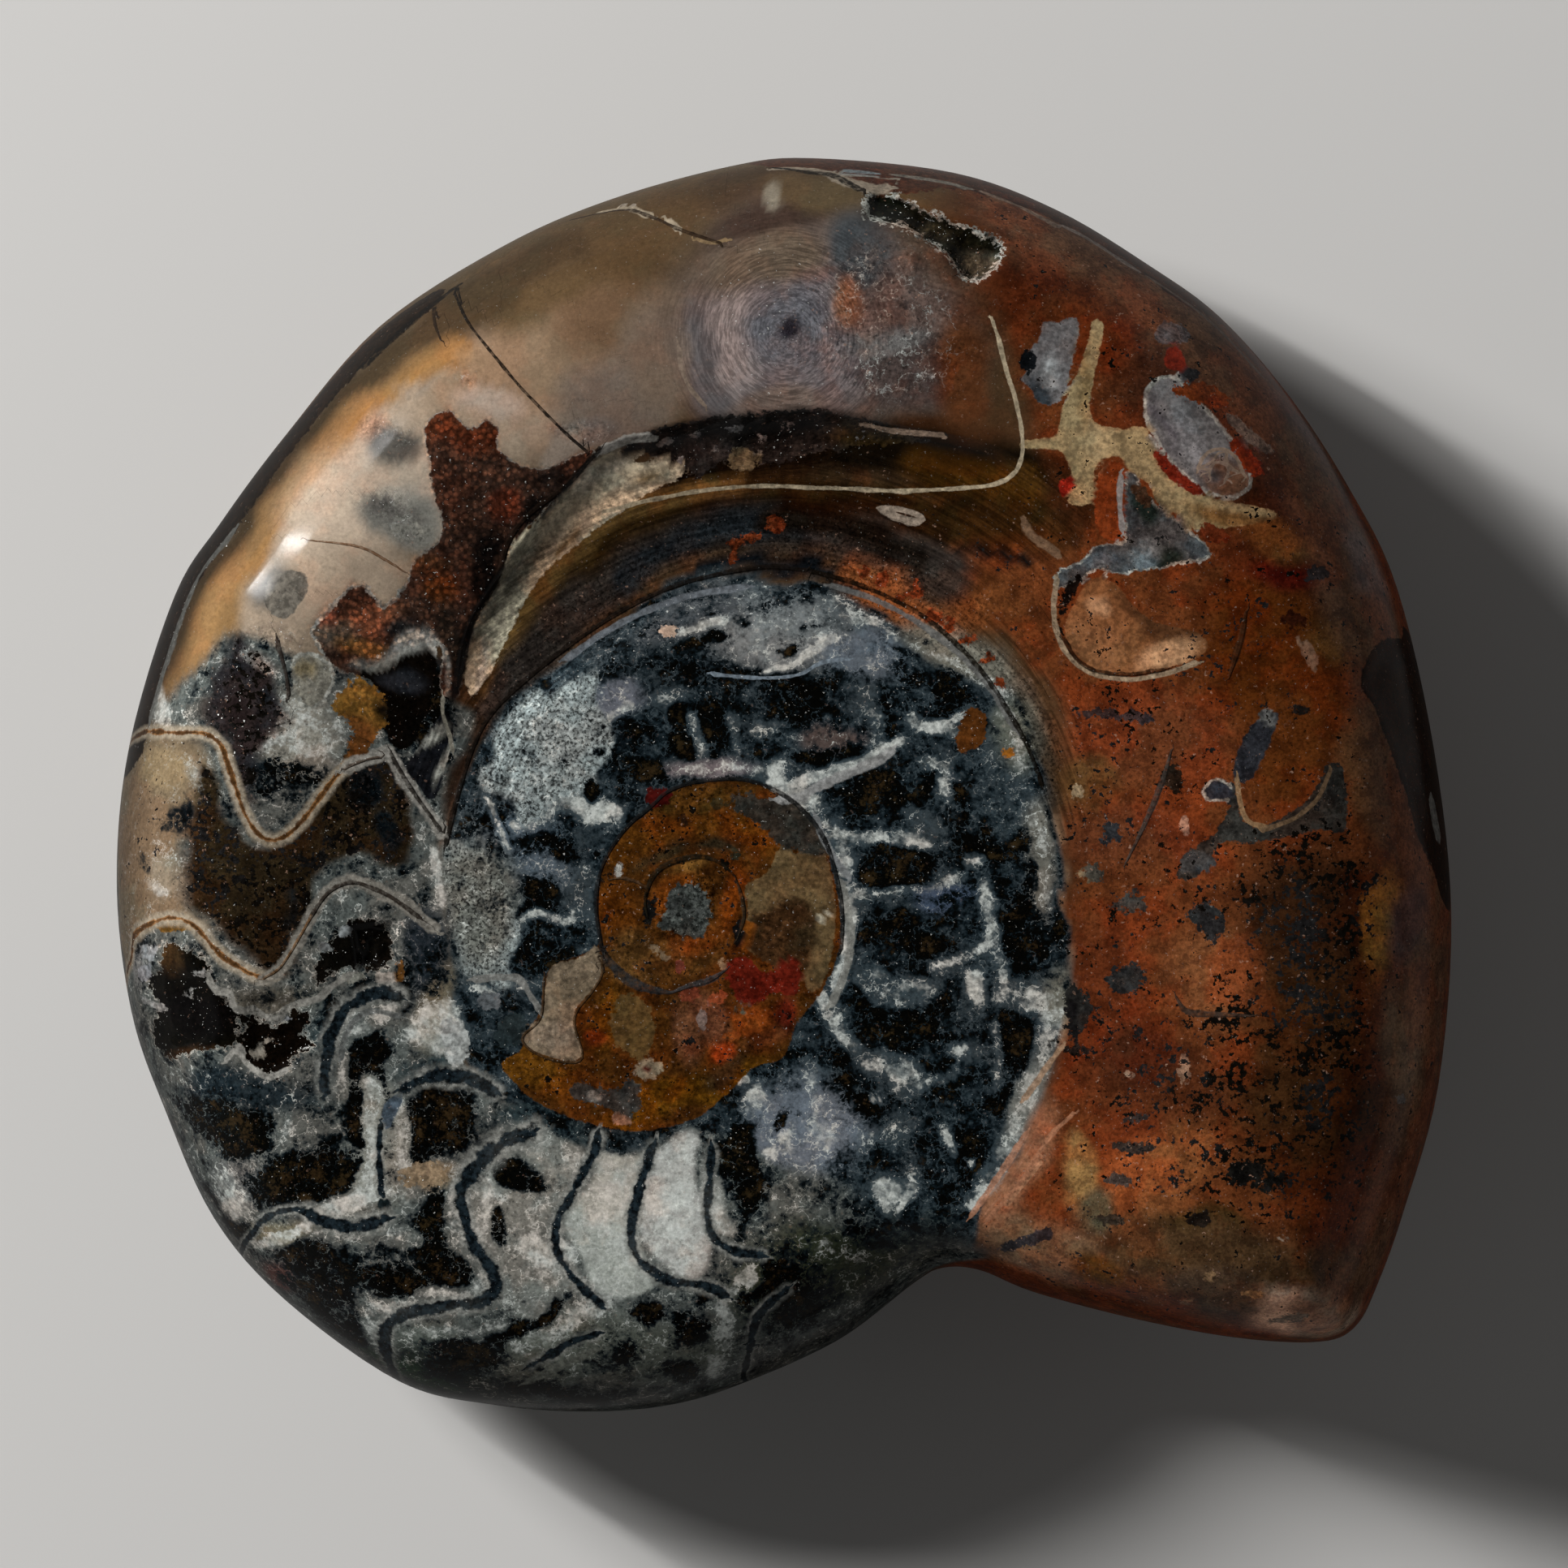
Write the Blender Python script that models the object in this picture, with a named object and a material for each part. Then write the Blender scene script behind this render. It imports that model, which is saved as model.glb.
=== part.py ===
"""Polished goniatite: a flat-coiled fossil shell turned to stone, ground and polished, in one solid piece.

It lies on its back: +Z is up, +X points to the side of the living chamber, and the origin is on the small
ground flat that the shell rests on, under the middle of its outline. Blender 4.5, metres.
"""
import math

import bmesh
import bpy
import numpy as np

# Driving dimensions, in millimetres
SHELL_LENGTH = 82.2
RIM_HEIGHT = 11.0
CENTRE_RISE = 9.2
CREST_BASE = 3.6
CREST_PER_RADIUS = 0.19
FLANK_WIDTH = 14.0
SHOULDER_WIDTH = 9.0
LIP_ROUNDING = 4.0
SHOULDER_POWER = 2.3
BACK_ROUNDING = 12.0
BACK_RISE = 2.2
BACK_SPREAD = 22.0
FLAT_RADIUS = 16.0

# Relief of the coil, in millimetres
LEDGE_DROP = 0.9
WALL_DROP = 0.6
LEDGE_WIDTH = 0.9
INNER_EDGE_ROUNDING = 2.4
INNER_DOME = 0.35
INNER_DOME_INSET = 4.5
INNER_DOME_WIDTH = 3.0
SEAM_LIMIT = 0.78
WALL_LIMITS = (0.12, 0.55)

# Stretches of the coil, in degrees from +X: fading in, full from, full to, faded out
WALL_ARC = (5, 62, 130, 185)
LEDGE_ARC = (40, 62, 118, 150)
LIP_ARC = (296, 308, 322, 334)

# Mesh of the solid: straight lines out from the coil's middle, and rings round it
RAYS = 128
INNER_RINGS = (0.2, 0.4, 0.58, 0.73, 0.84, 0.91, 0.96, 1.0)
WALL_RINGS = (0.12, 0.35, 0.65, 0.9, 1.0)
FLANK_RINGS = (0.08, 0.3, 0.6, 1.0)
SHOULDER_RINGS = 9
BACK_RINGS = (0.01, 0.04, 0.09, 0.17, 0.28, 0.42, 0.6, 0.8, 1.0)
CREST_INSET = 11.0
CREST_LEAST_SHARE = 0.3
CURVE_STEPS = 12
EDGE_STEPS = 6
SHARP_ANGLE = 40

# The shell's curves are drawn seen from above, x to the right and y down, and scaled to SHELL_LENGTH
COIL_MIDDLE = (850, 1110)
OUTLINE = [
    (1000, 195), (1175, 213), (1302, 259), (1417, 328), (1503, 391), (1589, 489), (1663, 603), (1721, 724),
    (1767, 925), (1788, 1130), (1772, 1337), (1730, 1490), (1698, 1580), (1670, 1634), (1625, 1653),
    (1523, 1648), (1399, 1625), (1274, 1592), (1208, 1565), (1162, 1562), (1127, 1580), (1031, 1652),
    (900, 1710), (813, 1733), (717, 1739), (610, 1731), (494, 1703), (353, 1603), (264, 1501), (203, 1366),
    (162, 1246), (144, 1090), (159, 921), (215, 735), (272, 644), (353, 535), (467, 403), (617, 305),
    (749, 247), (900, 205),
]
COIL_SEAM = [
    (1162, 1562), (1203, 1476), (1237, 1428), (1279, 1328), (1308, 1190), (1313, 1084), (1302, 1019),
    (1280, 953), (1248, 883), (1205, 829), (1150, 780), (1096, 748), (1020, 720), (944, 712), (844, 730),
    (765, 765), (691, 813), (614, 878), (566, 985), (548, 1080), (550, 1200), (600, 1320), (720, 1430),
    (880, 1500), (1050, 1545),
]
WALL_TOP = [
    (1240, 560), (1160, 537), (1071, 524), (1007, 512), (944, 515), (880, 521), (800, 540), (740, 557),
    (690, 612), (637, 680), (586, 749), (566, 800), (552, 860), (530, 940), (490, 1030), (470, 1150),
    (510, 1300), (600, 1440), (740, 1540), (900, 1590), (1060, 1590), (1230, 1530), (1340, 1440),
    (1410, 1300), (1440, 1150), (1440, 1000), (1410, 850), (1370, 720), (1310, 620),
]

# Hollows in the polished face: an open crystal pocket, rough black pockets, and flakes off the edge
CRYSTAL_POCKET = [
    (1071, 241), (1103, 244), (1167, 276), (1228, 301), (1234, 320), (1215, 343), (1189, 352), (1164, 320),
    (1110, 285), (1068, 272),
]
BLACK_POCKETS = [
    [(172, 1200), (215, 1175), (262, 1205), (275, 1270), (240, 1300), (190, 1290)],
    [(300, 1215), (372, 1225), (392, 1290), (350, 1330), (305, 1300)],
    [(430, 1135), (495, 1130), (500, 1190), (440, 1205)],
]
SIDE_FLAKE = [
    (1755, 775), (1692, 794), (1671, 843), (1688, 871), (1709, 927), (1727, 976), (1741, 1025), (1762, 1071),
    (1800, 1110), (1830, 940),
]
TOP_FLAKE = [
    (950, 180), (1023, 212), (1084, 243), (1190, 236), (1290, 262), (1405, 330), (1440, 300), (1180, 170),
]
LEFT_FLAKE = [
    (150, 935), (186, 885), (208, 816), (243, 722), (292, 655), (366, 548), (450, 452), (500, 405), (440, 390),
    (250, 600), (140, 800),
]
CRYSTAL_POCKET_DEPTH = 1.3
BLACK_POCKET_DEPTH = 0.6
FLAKE_DEPTH = 0.55
FLAKE_EDGE = 0.8
POCKET_LIP = 0.3

STONE_COLOUR = (0.115, 0.055, 0.03, 1.0)
STONE_ROUGHNESS = 0.18
MM = 0.001


def clear_scene():
    for thing in list(bpy.data.objects):
        bpy.data.objects.remove(thing, do_unlink=True)


def smooth_loop(points, steps=CURVE_STEPS):
    """A closed Catmull-Rom curve through the given points."""
    p1 = np.array(points, dtype=float)
    p0 = np.roll(p1, 1, axis=0)
    p2 = np.roll(p1, -1, axis=0)
    p3 = np.roll(p1, -2, axis=0)
    spans = []
    for t in np.arange(steps) / steps:
        spans.append(0.5 * (2 * p1 + (p2 - p0) * t + (2 * p0 - 5 * p1 + 4 * p2 - p3) * t ** 2
                            + (3 * p1 - p0 - 3 * p2 + p3) * t ** 3))
    return np.stack(spans, axis=1).reshape(-1, 2)


def drawing_scale():
    """The middle of the drawn outline, and the millimetres that one unit of the drawing stands for."""
    drawn = smooth_loop(OUTLINE)
    low, high = drawn.min(axis=0), drawn.max(axis=0)
    return (low + high) / 2, SHELL_LENGTH / (high[0] - low[0])


def on_shell(points):
    """Drawn points in millimetres, with y up and the origin at the outline's middle."""
    middle, unit = drawing_scale()
    return (np.array(points, dtype=float) - middle) * unit * (1, -1)


def smooth_step(value):
    t = np.clip(value, 0.0, 1.0)
    return t * t * (3 - 2 * t)


def reach(loop, angle):
    """How far the loop is from the coil's middle, in the direction of each angle."""
    offset = loop - on_shell(COIL_MIDDLE)
    bearing = np.arctan2(offset[:, 1], offset[:, 0])
    order = np.argsort(bearing)
    return np.interp(angle, bearing[order], np.hypot(*offset[order].T), period=2 * math.pi)


def edge_distance(loop, x, y):
    """Distance to the loop's edge, positive inside it."""
    nearest = np.full(x.shape, np.inf)
    inside = np.zeros(x.shape, dtype=bool)
    for (ax, ay), (bx, by) in zip(loop, np.roll(loop, -1, axis=0)):
        dx, dy = bx - ax, by - ay
        along = np.clip(((x - ax) * dx + (y - ay) * dy) / (dx * dx + dy * dy), 0.0, 1.0)
        nearest = np.minimum(nearest, np.hypot(x - ax - along * dx, y - ay - along * dy))
        if ay != by:
            inside ^= ((ay > y) != (by > y)) & (x < ax + (y - ay) * dx / dy)
    return np.where(inside, nearest, -nearest)


def window(angle, arc):
    """1 on the full stretch of an arc, fading to 0 at its ends."""
    start, full_from, full_to, end = arc
    degrees = np.mod(np.degrees(angle) - start, 360) + start
    return smooth_step((degrees - start) / (full_from - start)) * smooth_step((end - degrees) / (end - full_to))


def fold_radius(angle):
    """The seam where the last turn of the coil meets the one inside it."""
    return np.minimum(reach(smooth_loop(on_shell(COIL_SEAM)), angle), SEAM_LIMIT * outline_radius(angle))


def outline_radius(angle):
    return reach(smooth_loop(on_shell(OUTLINE)), angle)


def wall_radius(angle):
    """The top of the wall round the navel, kept between the seam and the shoulder."""
    fold = fold_radius(angle)
    width = outline_radius(angle) - fold
    low, high = fold + WALL_LIMITS[0] * width, fold + WALL_LIMITS[1] * width
    return np.clip(reach(smooth_loop(on_shell(WALL_TOP)), angle), low, high)


def shoulder(edge, width):
    """0 at the rim and 1 on the flank, as a rounded shoulder of the given width."""
    t = 1 - np.clip(edge / width, 0.0, 1.0)
    return (1 - t ** SHOULDER_POWER) ** (1 / SHOULDER_POWER)


def coil_relief(radius, angle):
    """Height of the polished face over the rim, before its shoulder is rounded."""
    fold, wall = fold_radius(angle), wall_radius(angle)
    crest = CREST_BASE + CREST_PER_RADIUS * outline_radius(angle)
    flank = CENTRE_RISE + (crest - CENTRE_RISE) * smooth_step((radius - fold) / FLANK_WIDTH)
    walled = window(angle, WALL_ARC)
    across = np.clip((wall - radius) / (wall - fold), 0.0, 1.0)
    ledge = LEDGE_DROP * window(angle, LEDGE_ARC) * smooth_step((wall - radius) / LEDGE_WIDTH)
    inside = smooth_step((fold - radius) / INNER_EDGE_ROUNDING)
    drop = (ledge + WALL_DROP * walled * across) * (1 - inside)
    dome_place = (radius - fold + INNER_DOME_INSET) / INNER_DOME_WIDTH
    return flank - drop + INNER_DOME * walled * np.exp(-dome_place ** 2)


def hollows(x, y):
    """Depth of the pockets and of the flakes broken off the edge."""
    depth = np.zeros(x.shape)
    for pocket in BLACK_POCKETS:
        depth += BLACK_POCKET_DEPTH * smooth_step(edge_distance(on_shell(pocket), x, y) / FLAKE_EDGE)
    pocket_edge = edge_distance(on_shell(CRYSTAL_POCKET), x, y)
    depth += CRYSTAL_POCKET_DEPTH * smooth_step(pocket_edge / FLAKE_EDGE + POCKET_LIP)
    for flake in (SIDE_FLAKE, TOP_FLAKE, LEFT_FLAKE):
        depth += FLAKE_DEPTH * smooth_step(edge_distance(on_shell(flake), x, y) / FLAKE_EDGE)
    return depth


def face_height(x, y):
    """Height of the upper side over the surface that the shell lies on."""
    middle = on_shell(COIL_MIDDLE)
    radius, angle = np.hypot(x - middle[0], y - middle[1]), np.arctan2(y - middle[1], x - middle[0])
    edge = edge_distance(smooth_loop(on_shell(OUTLINE), EDGE_STEPS), x, y)
    width = SHOULDER_WIDTH - (SHOULDER_WIDTH - LIP_ROUNDING) * window(angle, LIP_ARC)
    rounded = shoulder(edge, width)
    return RIM_HEIGHT + (coil_relief(radius, angle) - hollows(x, y)) * rounded


def back_height(x, y):
    """Height of the lower side: a small ground flat, and a gently rounded back out to the rim."""
    edge = edge_distance(smooth_loop(on_shell(OUTLINE), EDGE_STEPS), x, y)
    rounded = shoulder(edge, BACK_ROUNDING)
    rise = BACK_RISE * (np.maximum(np.hypot(x, y) - FLAT_RADIUS, 0.0) / BACK_SPREAD) ** 2
    return RIM_HEIGHT * (1 - rounded) + rise * rounded


def rim_points():
    """Points on the outline, evenly spaced along it."""
    loop = smooth_loop(on_shell(OUTLINE))
    closed = np.vstack([loop, loop[:1]])
    length = np.concatenate([[0.0], np.cumsum(np.hypot(*np.diff(closed, axis=0).T))])
    stops = np.linspace(0.0, length[-1], RAYS, endpoint=False)
    return np.stack([np.interp(stops, length, closed[:, 0]), np.interp(stops, length, closed[:, 1])], axis=1)


def face_radii(rim, angle):
    """Radii of the rings on the upper side, from the coil's middle out to just inside the rim."""
    fold, wall = fold_radius(angle), wall_radius(angle)
    crest = np.maximum(rim - CREST_INSET, wall + CREST_LEAST_SHARE * (rim - wall))
    radii = [part * fold for part in INNER_RINGS]
    radii += [fold + part * (wall - fold) for part in WALL_RINGS]
    radii += [wall + part * (crest - wall) for part in FLANK_RINGS]
    turns = math.pi / 2 * np.arange(1, SHOULDER_RINGS) / SHOULDER_RINGS
    radii += [crest + (rim - crest) * math.sin(turn) for turn in turns]
    return radii


def shell_rings():
    """Rings of points in millimetres: across the upper side, round the rim and in over the back."""
    middle, rim = on_shell(COIL_MIDDLE), rim_points()
    ray = rim - middle
    length, angle = np.hypot(*ray.T), np.arctan2(ray[:, 1], ray[:, 0])
    rings = []
    for radius in face_radii(length, angle):
        x, y = (middle + ray * (radius / length)[:, None]).T
        rings.append(np.stack([x, y, face_height(x, y)], axis=1))
    rings.append(np.column_stack([rim, np.full(RAYS, RIM_HEIGHT)]))
    flat = rim / np.hypot(*rim.T)[:, None] * FLAT_RADIUS
    for part in BACK_RINGS:
        x, y = (rim + (flat - rim) * part).T
        rings.append(np.stack([x, y, back_height(x, y)], axis=1))
    return rings


def stone_material():
    stone = bpy.data.materials.new("polished_fossil")
    stone.use_nodes = True
    surface = stone.node_tree.nodes["Principled BSDF"]
    surface.inputs["Base Color"].default_value = STONE_COLOUR
    surface.inputs["Roughness"].default_value = STONE_ROUGHNESS
    surface.inputs["Metallic"].default_value = 0.0
    return stone


def make_goniatite():
    """Joins the rings into one closed solid: a fan over the coil's middle, and one flat face to rest on."""
    mesh = bpy.data.meshes.new("goniatite")
    solid = bmesh.new()
    middle = on_shell(COIL_MIDDLE)
    top = face_height(middle[:1], middle[1:])[0]
    peak = solid.verts.new((middle[0] * MM, middle[1] * MM, top * MM))
    rings = [[solid.verts.new(point * MM) for point in ring] for ring in shell_rings()]
    turned = [ring[1:] + ring[:1] for ring in rings]
    for here, there in zip(rings[0], turned[0]):
        solid.faces.new((peak, here, there))
    for inner, inner_next, outer, outer_next in zip(rings, turned, rings[1:], turned[1:]):
        for corners in zip(inner, outer, outer_next, inner_next):
            solid.faces.new(corners)
    solid.faces.new(rings[-1][::-1])
    bmesh.ops.recalc_face_normals(solid, faces=solid.faces)
    solid.to_mesh(mesh)
    solid.free()
    mesh.shade_smooth()
    mesh.set_sharp_from_angle(angle=math.radians(SHARP_ANGLE))
    shell = bpy.data.objects.new("goniatite", mesh)
    shell.data.materials.append(stone_material())
    bpy.context.scene.collection.objects.link(shell)
    return shell


clear_scene()
make_goniatite()
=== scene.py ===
import math

import bpy
import numpy as np
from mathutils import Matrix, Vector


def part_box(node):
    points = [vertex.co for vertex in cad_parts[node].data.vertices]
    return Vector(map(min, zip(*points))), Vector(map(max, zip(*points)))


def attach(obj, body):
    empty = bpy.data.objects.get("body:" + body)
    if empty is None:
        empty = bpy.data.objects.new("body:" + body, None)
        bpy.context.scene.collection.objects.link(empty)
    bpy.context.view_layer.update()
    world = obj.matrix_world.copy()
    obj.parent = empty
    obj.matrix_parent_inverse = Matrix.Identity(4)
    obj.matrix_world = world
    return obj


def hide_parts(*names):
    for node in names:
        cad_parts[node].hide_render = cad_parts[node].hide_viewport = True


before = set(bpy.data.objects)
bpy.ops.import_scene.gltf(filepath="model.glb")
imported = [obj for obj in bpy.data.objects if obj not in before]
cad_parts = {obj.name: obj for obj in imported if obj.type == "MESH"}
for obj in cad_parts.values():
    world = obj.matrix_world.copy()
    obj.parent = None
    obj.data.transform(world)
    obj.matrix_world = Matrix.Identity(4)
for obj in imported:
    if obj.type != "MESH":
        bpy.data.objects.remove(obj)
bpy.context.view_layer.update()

# The shell
# One fossil goniatite turned to stone: shell, chamber fillings and living chamber are a single lump, ground
# to a smooth crested disc and polished. Its skin is a net of rays out from the coil's middle, crossed by
# rings that follow the coil, with every flake, pocket and step of the wall worked into the net.
MM = 0.001
COIL_MIDDLE = (850, 1110)
OUTLINE = [
    (1000, 195), (1175, 213), (1302, 259), (1417, 328), (1503, 391), (1589, 489), (1663, 603), (1721, 724),
    (1767, 925), (1788, 1130), (1772, 1337), (1730, 1490), (1698, 1580), (1670, 1634), (1625, 1653),
    (1523, 1648), (1399, 1625), (1274, 1592), (1208, 1565), (1162, 1562), (1127, 1580), (1031, 1652),
    (900, 1710), (813, 1733), (717, 1739), (610, 1731), (494, 1703), (353, 1603), (264, 1501), (203, 1366),
    (162, 1246), (144, 1090), (159, 921), (215, 735), (272, 644), (353, 535), (467, 403), (617, 305),
    (749, 247), (900, 205),
]
COIL_SEAM = [
    (1162, 1562), (1203, 1476), (1237, 1428), (1279, 1328), (1308, 1190), (1313, 1084), (1302, 1019),
    (1280, 953), (1248, 883), (1205, 829), (1150, 780), (1096, 748), (1020, 720), (944, 712), (844, 730),
    (765, 765), (691, 813), (614, 878), (566, 985), (548, 1080), (550, 1200), (600, 1320), (720, 1430),
    (880, 1500), (1050, 1545),
]
WALL_TOP = [
    (1240, 560), (1160, 537), (1071, 524), (1007, 512), (944, 515), (880, 521), (800, 540), (740, 557),
    (690, 612), (637, 680), (586, 749), (566, 800), (552, 860), (530, 940), (490, 1030), (470, 1150),
    (510, 1300), (600, 1440), (740, 1540), (900, 1590), (1060, 1590), (1230, 1530), (1340, 1440),
    (1410, 1300), (1440, 1150), (1440, 1000), (1410, 850), (1370, 720), (1310, 620),
]
RIM_HEIGHT = 11.0
CENTRE_RISE = 9.2
CREST_BASE = 3.6
CREST_PER_RADIUS = 0.19
FLANK_WIDTH = 14.0
SHOULDER_WIDTH = 9.0
LIP_ROUNDING = 4.0
SHOULDER_POWER = 2.3
BACK_ROUNDING = 12.0
BACK_RISE = 2.2
BACK_SPREAD = 22.0
FLAT_RADIUS = 16.0
LEDGE_DROP = 0.9
WALL_DROP = 0.35
LEDGE_WIDTH = 0.9
INNER_EDGE_ROUNDING = 2.4
INNER_DOME = 0.15
INNER_DOME_INSET = 4.5
INNER_DOME_WIDTH = 3.0
SEAM_LIMIT = 0.78
WALL_LIMITS = (0.12, 0.55)
WALL_ARC = (5, 62, 130, 185)
LEDGE_ARC = (40, 62, 118, 150)
LIP_ARC = (296, 308, 322, 334)

RAYS = 720
CORE_RINGS = 24
CORE_SHARE = 0.42
INNER_RINGS = 36
WALL_RINGS = 16
FLANK_RINGS = 26
SHOULDER_RINGS = 30
SIDE_RINGS = 18
BACK_RINGS = 40
BACK_CROWDING = 1.8
FLAT_RINGS = 20
CREST_INSET = 11.0
CREST_LEAST_SHARE = 0.3
CURVE_STEPS = 12
RIM_STEPS = 6


def curve_through(points, steps=CURVE_STEPS, closed=True):
    """A Catmull-Rom curve through the given points."""
    drawn = np.array(points, dtype=float)
    if closed:
        before, start, end, after = (np.roll(drawn, -shift, axis=0) for shift in (-1, 0, 1, 2))
    else:
        drawn = np.vstack([2 * drawn[0] - drawn[1], drawn, 2 * drawn[-1] - drawn[-2]])
        before, start, end, after = drawn[:-3], drawn[1:-2], drawn[2:-1], drawn[3:]
    straight, bend = end - before, 2 * before - 5 * start + 4 * end - after
    twist = 3 * start - before - 3 * end + after
    shares = np.arange(steps) / steps
    spans = [0.5 * (2 * start + straight * t + bend * t ** 2 + twist * t ** 3) for t in shares]
    curve = np.stack(spans, axis=1).reshape(-1, 2)
    return curve if closed else np.vstack([curve, drawn[-2]])


low, high = (np.array(corner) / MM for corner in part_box("goniatite"))
drawn_outline = curve_through(OUTLINE)
drawn_low, drawn_high = drawn_outline.min(axis=0), drawn_outline.max(axis=0)
DRAWN_MIDDLE = (drawn_low + drawn_high) / 2
UNIT = (high[0] - low[0]) / (drawn_high[0] - drawn_low[0])


def on_shell(points):
    """Points drawn from above, y down, in millimetres with y up and the origin at the outline's middle."""
    return (np.array(points, dtype=float) - DRAWN_MIDDLE) * UNIT * (1, -1)


def smooth_step(value):
    t = np.clip(value, 0.0, 1.0)
    return t * t * (3 - 2 * t)


def reach(loop, angle):
    """How far a drawn loop is from the coil's middle, in the direction of each angle."""
    offset = curve_through(on_shell(loop)) - on_shell(COIL_MIDDLE)
    bearing = np.arctan2(offset[:, 1], offset[:, 0])
    order = np.argsort(bearing)
    return np.interp(angle, bearing[order], np.hypot(*offset[order].T), period=2 * math.pi)


def stretches(line, x, y):
    """For each stretch of a line: its start, its end, and how far along it and from it each point lies."""
    for (ax, ay), (bx, by) in zip(line, line[1:]):
        dx, dy = bx - ax, by - ay
        along = np.clip(((x - ax) * dx + (y - ay) * dy) / (dx * dx + dy * dy), 0.0, 1.0)
        yield (ax, ay), (bx, by), along, np.hypot(x - ax - along * dx, y - ay - along * dy)


def edge_distance(loop, x, y):
    """Distance to the loop's edge, positive inside it."""
    nearest = np.full(x.shape, np.inf)
    inside = np.zeros(x.shape, dtype=bool)
    for (ax, ay), (bx, by), _, gap in stretches(np.vstack([loop, loop[:1]]), x, y):
        nearest = np.minimum(nearest, gap)
        if ay != by:
            inside ^= ((ay > y) != (by > y)) & (x < ax + (y - ay) * (bx - ax) / (by - ay))
    return np.where(inside, nearest, -nearest)


def window(angle, arc):
    """1 on the full stretch of an arc in degrees, fading to 0 at its ends."""
    start, full_from, full_to, end = arc
    degrees = np.mod(np.degrees(angle) - start, 360) + start
    opening, closing = (degrees - start) / (full_from - start), (end - degrees) / (end - full_to)
    return smooth_step(opening) * smooth_step(closing)


def fold_radius(angle):
    """The seam where the last turn of the coil meets the one inside it."""
    return np.minimum(reach(COIL_SEAM, angle), SEAM_LIMIT * reach(OUTLINE, angle))


def wall_radius(angle):
    """The top of the wall round the navel, kept between the seam and the shoulder."""
    fold = fold_radius(angle)
    width = reach(OUTLINE, angle) - fold
    return np.clip(reach(WALL_TOP, angle), *(fold + limit * width for limit in WALL_LIMITS))


def shoulder(edge, width):
    """0 at the rim and 1 on the flank, as a rounded shoulder of the given width."""
    t = 1 - np.clip(edge / width, 0.0, 1.0)
    return (1 - t ** SHOULDER_POWER) ** (1 / SHOULDER_POWER)


def coil_relief(radius, angle):
    """Height of the polished face over the rim, before its shoulder is rounded."""
    fold, wall = fold_radius(angle), wall_radius(angle)
    crest = CREST_BASE + CREST_PER_RADIUS * reach(OUTLINE, angle)
    flank = CENTRE_RISE + (crest - CENTRE_RISE) * smooth_step((radius - fold) / FLANK_WIDTH)
    walled = window(angle, WALL_ARC)
    across = np.clip((wall - radius) / (wall - fold), 0.0, 1.0)
    ledge = LEDGE_DROP * window(angle, LEDGE_ARC) * smooth_step((wall - radius) / LEDGE_WIDTH)
    inside = smooth_step((fold - radius) / INNER_EDGE_ROUNDING)
    drop = (ledge + WALL_DROP * walled * across) * (1 - inside)
    dome_place = (radius - fold + INNER_DOME_INSET) / INNER_DOME_WIDTH
    return flank - drop + INNER_DOME * walled * np.exp(-dome_place ** 2)


def net_rings():
    """Rings of points from the coil's middle out over the face, round the rim and in over the back.

    Each ring of the face is its radius and how many rays lie between its points. The back has fewer too.
    """
    middle = on_shell(COIL_MIDDLE)
    loop = curve_through(on_shell(OUTLINE))
    closed = np.vstack([loop, loop[:1]])
    run = np.concatenate([[0.0], np.cumsum(np.hypot(*np.diff(closed, axis=0).T))])
    stops = np.linspace(0.0, run[-1], RAYS, endpoint=False)
    rim = np.stack([np.interp(stops, run, closed[:, 0]), np.interp(stops, run, closed[:, 1])], axis=1)
    ray = rim - middle
    length, angle = np.hypot(*ray.T), np.arctan2(ray[:, 1], ray[:, 0])
    fold, wall = fold_radius(angle), wall_radius(angle)
    crest = np.maximum(length - CREST_INSET, wall + CREST_LEAST_SHARE * (length - wall))
    radii = [(share * CORE_SHARE * fold, 4) for share in np.arange(1, CORE_RINGS + 1) / CORE_RINGS]
    radii += [((CORE_SHARE + (1 - CORE_SHARE) * share) * fold, 2)
              for share in np.arange(1, INNER_RINGS + 1) / INNER_RINGS]
    radii += [(fold + share * (wall - fold), 1) for share in np.arange(1, WALL_RINGS + 1) / WALL_RINGS]
    radii += [(wall + share * (crest - wall), 1) for share in np.arange(1, FLANK_RINGS + 1) / FLANK_RINGS]
    turns = math.pi / 2 * np.arange(1, SHOULDER_RINGS + 1) / SHOULDER_RINGS
    radii += [(crest + (length - crest) * math.sin(turn), 1) for turn in turns]
    face = [(middle + ray * (radius / length)[:, None])[::step] for radius, step in radii]
    flat = rim / np.hypot(*rim.T)[:, None] * FLAT_RADIUS
    shares = (np.arange(1, BACK_RINGS + 1) / BACK_RINGS) ** BACK_CROWDING
    steps = [1] * SIDE_RINGS + [2] * (BACK_RINGS - SIDE_RINGS)
    back = [(rim + (flat - rim) * share)[::step] for share, step in zip(shares, steps)]
    back += [flat[::4] * share for share in 1 - np.arange(1, FLAT_RINGS) / FLAT_RINGS]
    return face, back


def join(first, second):
    """Faces between two neighbouring rings of point numbers, of equal counts or one twice the other."""
    if len(second) < len(first):
        return [corners[::-1] for corners in join(second, first)]
    after = np.roll(first, -1)
    if len(second) == len(first):
        return np.stack([first, second, np.roll(second, -1), after], axis=1).tolist()
    near, half, far = second[::2], second[1::2], np.roll(second, -2)[::2]
    fans = (first, near, half), (first, half, after), (after, half, far)
    return np.vstack([np.stack(corners, axis=1) for corners in fans]).tolist()


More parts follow.
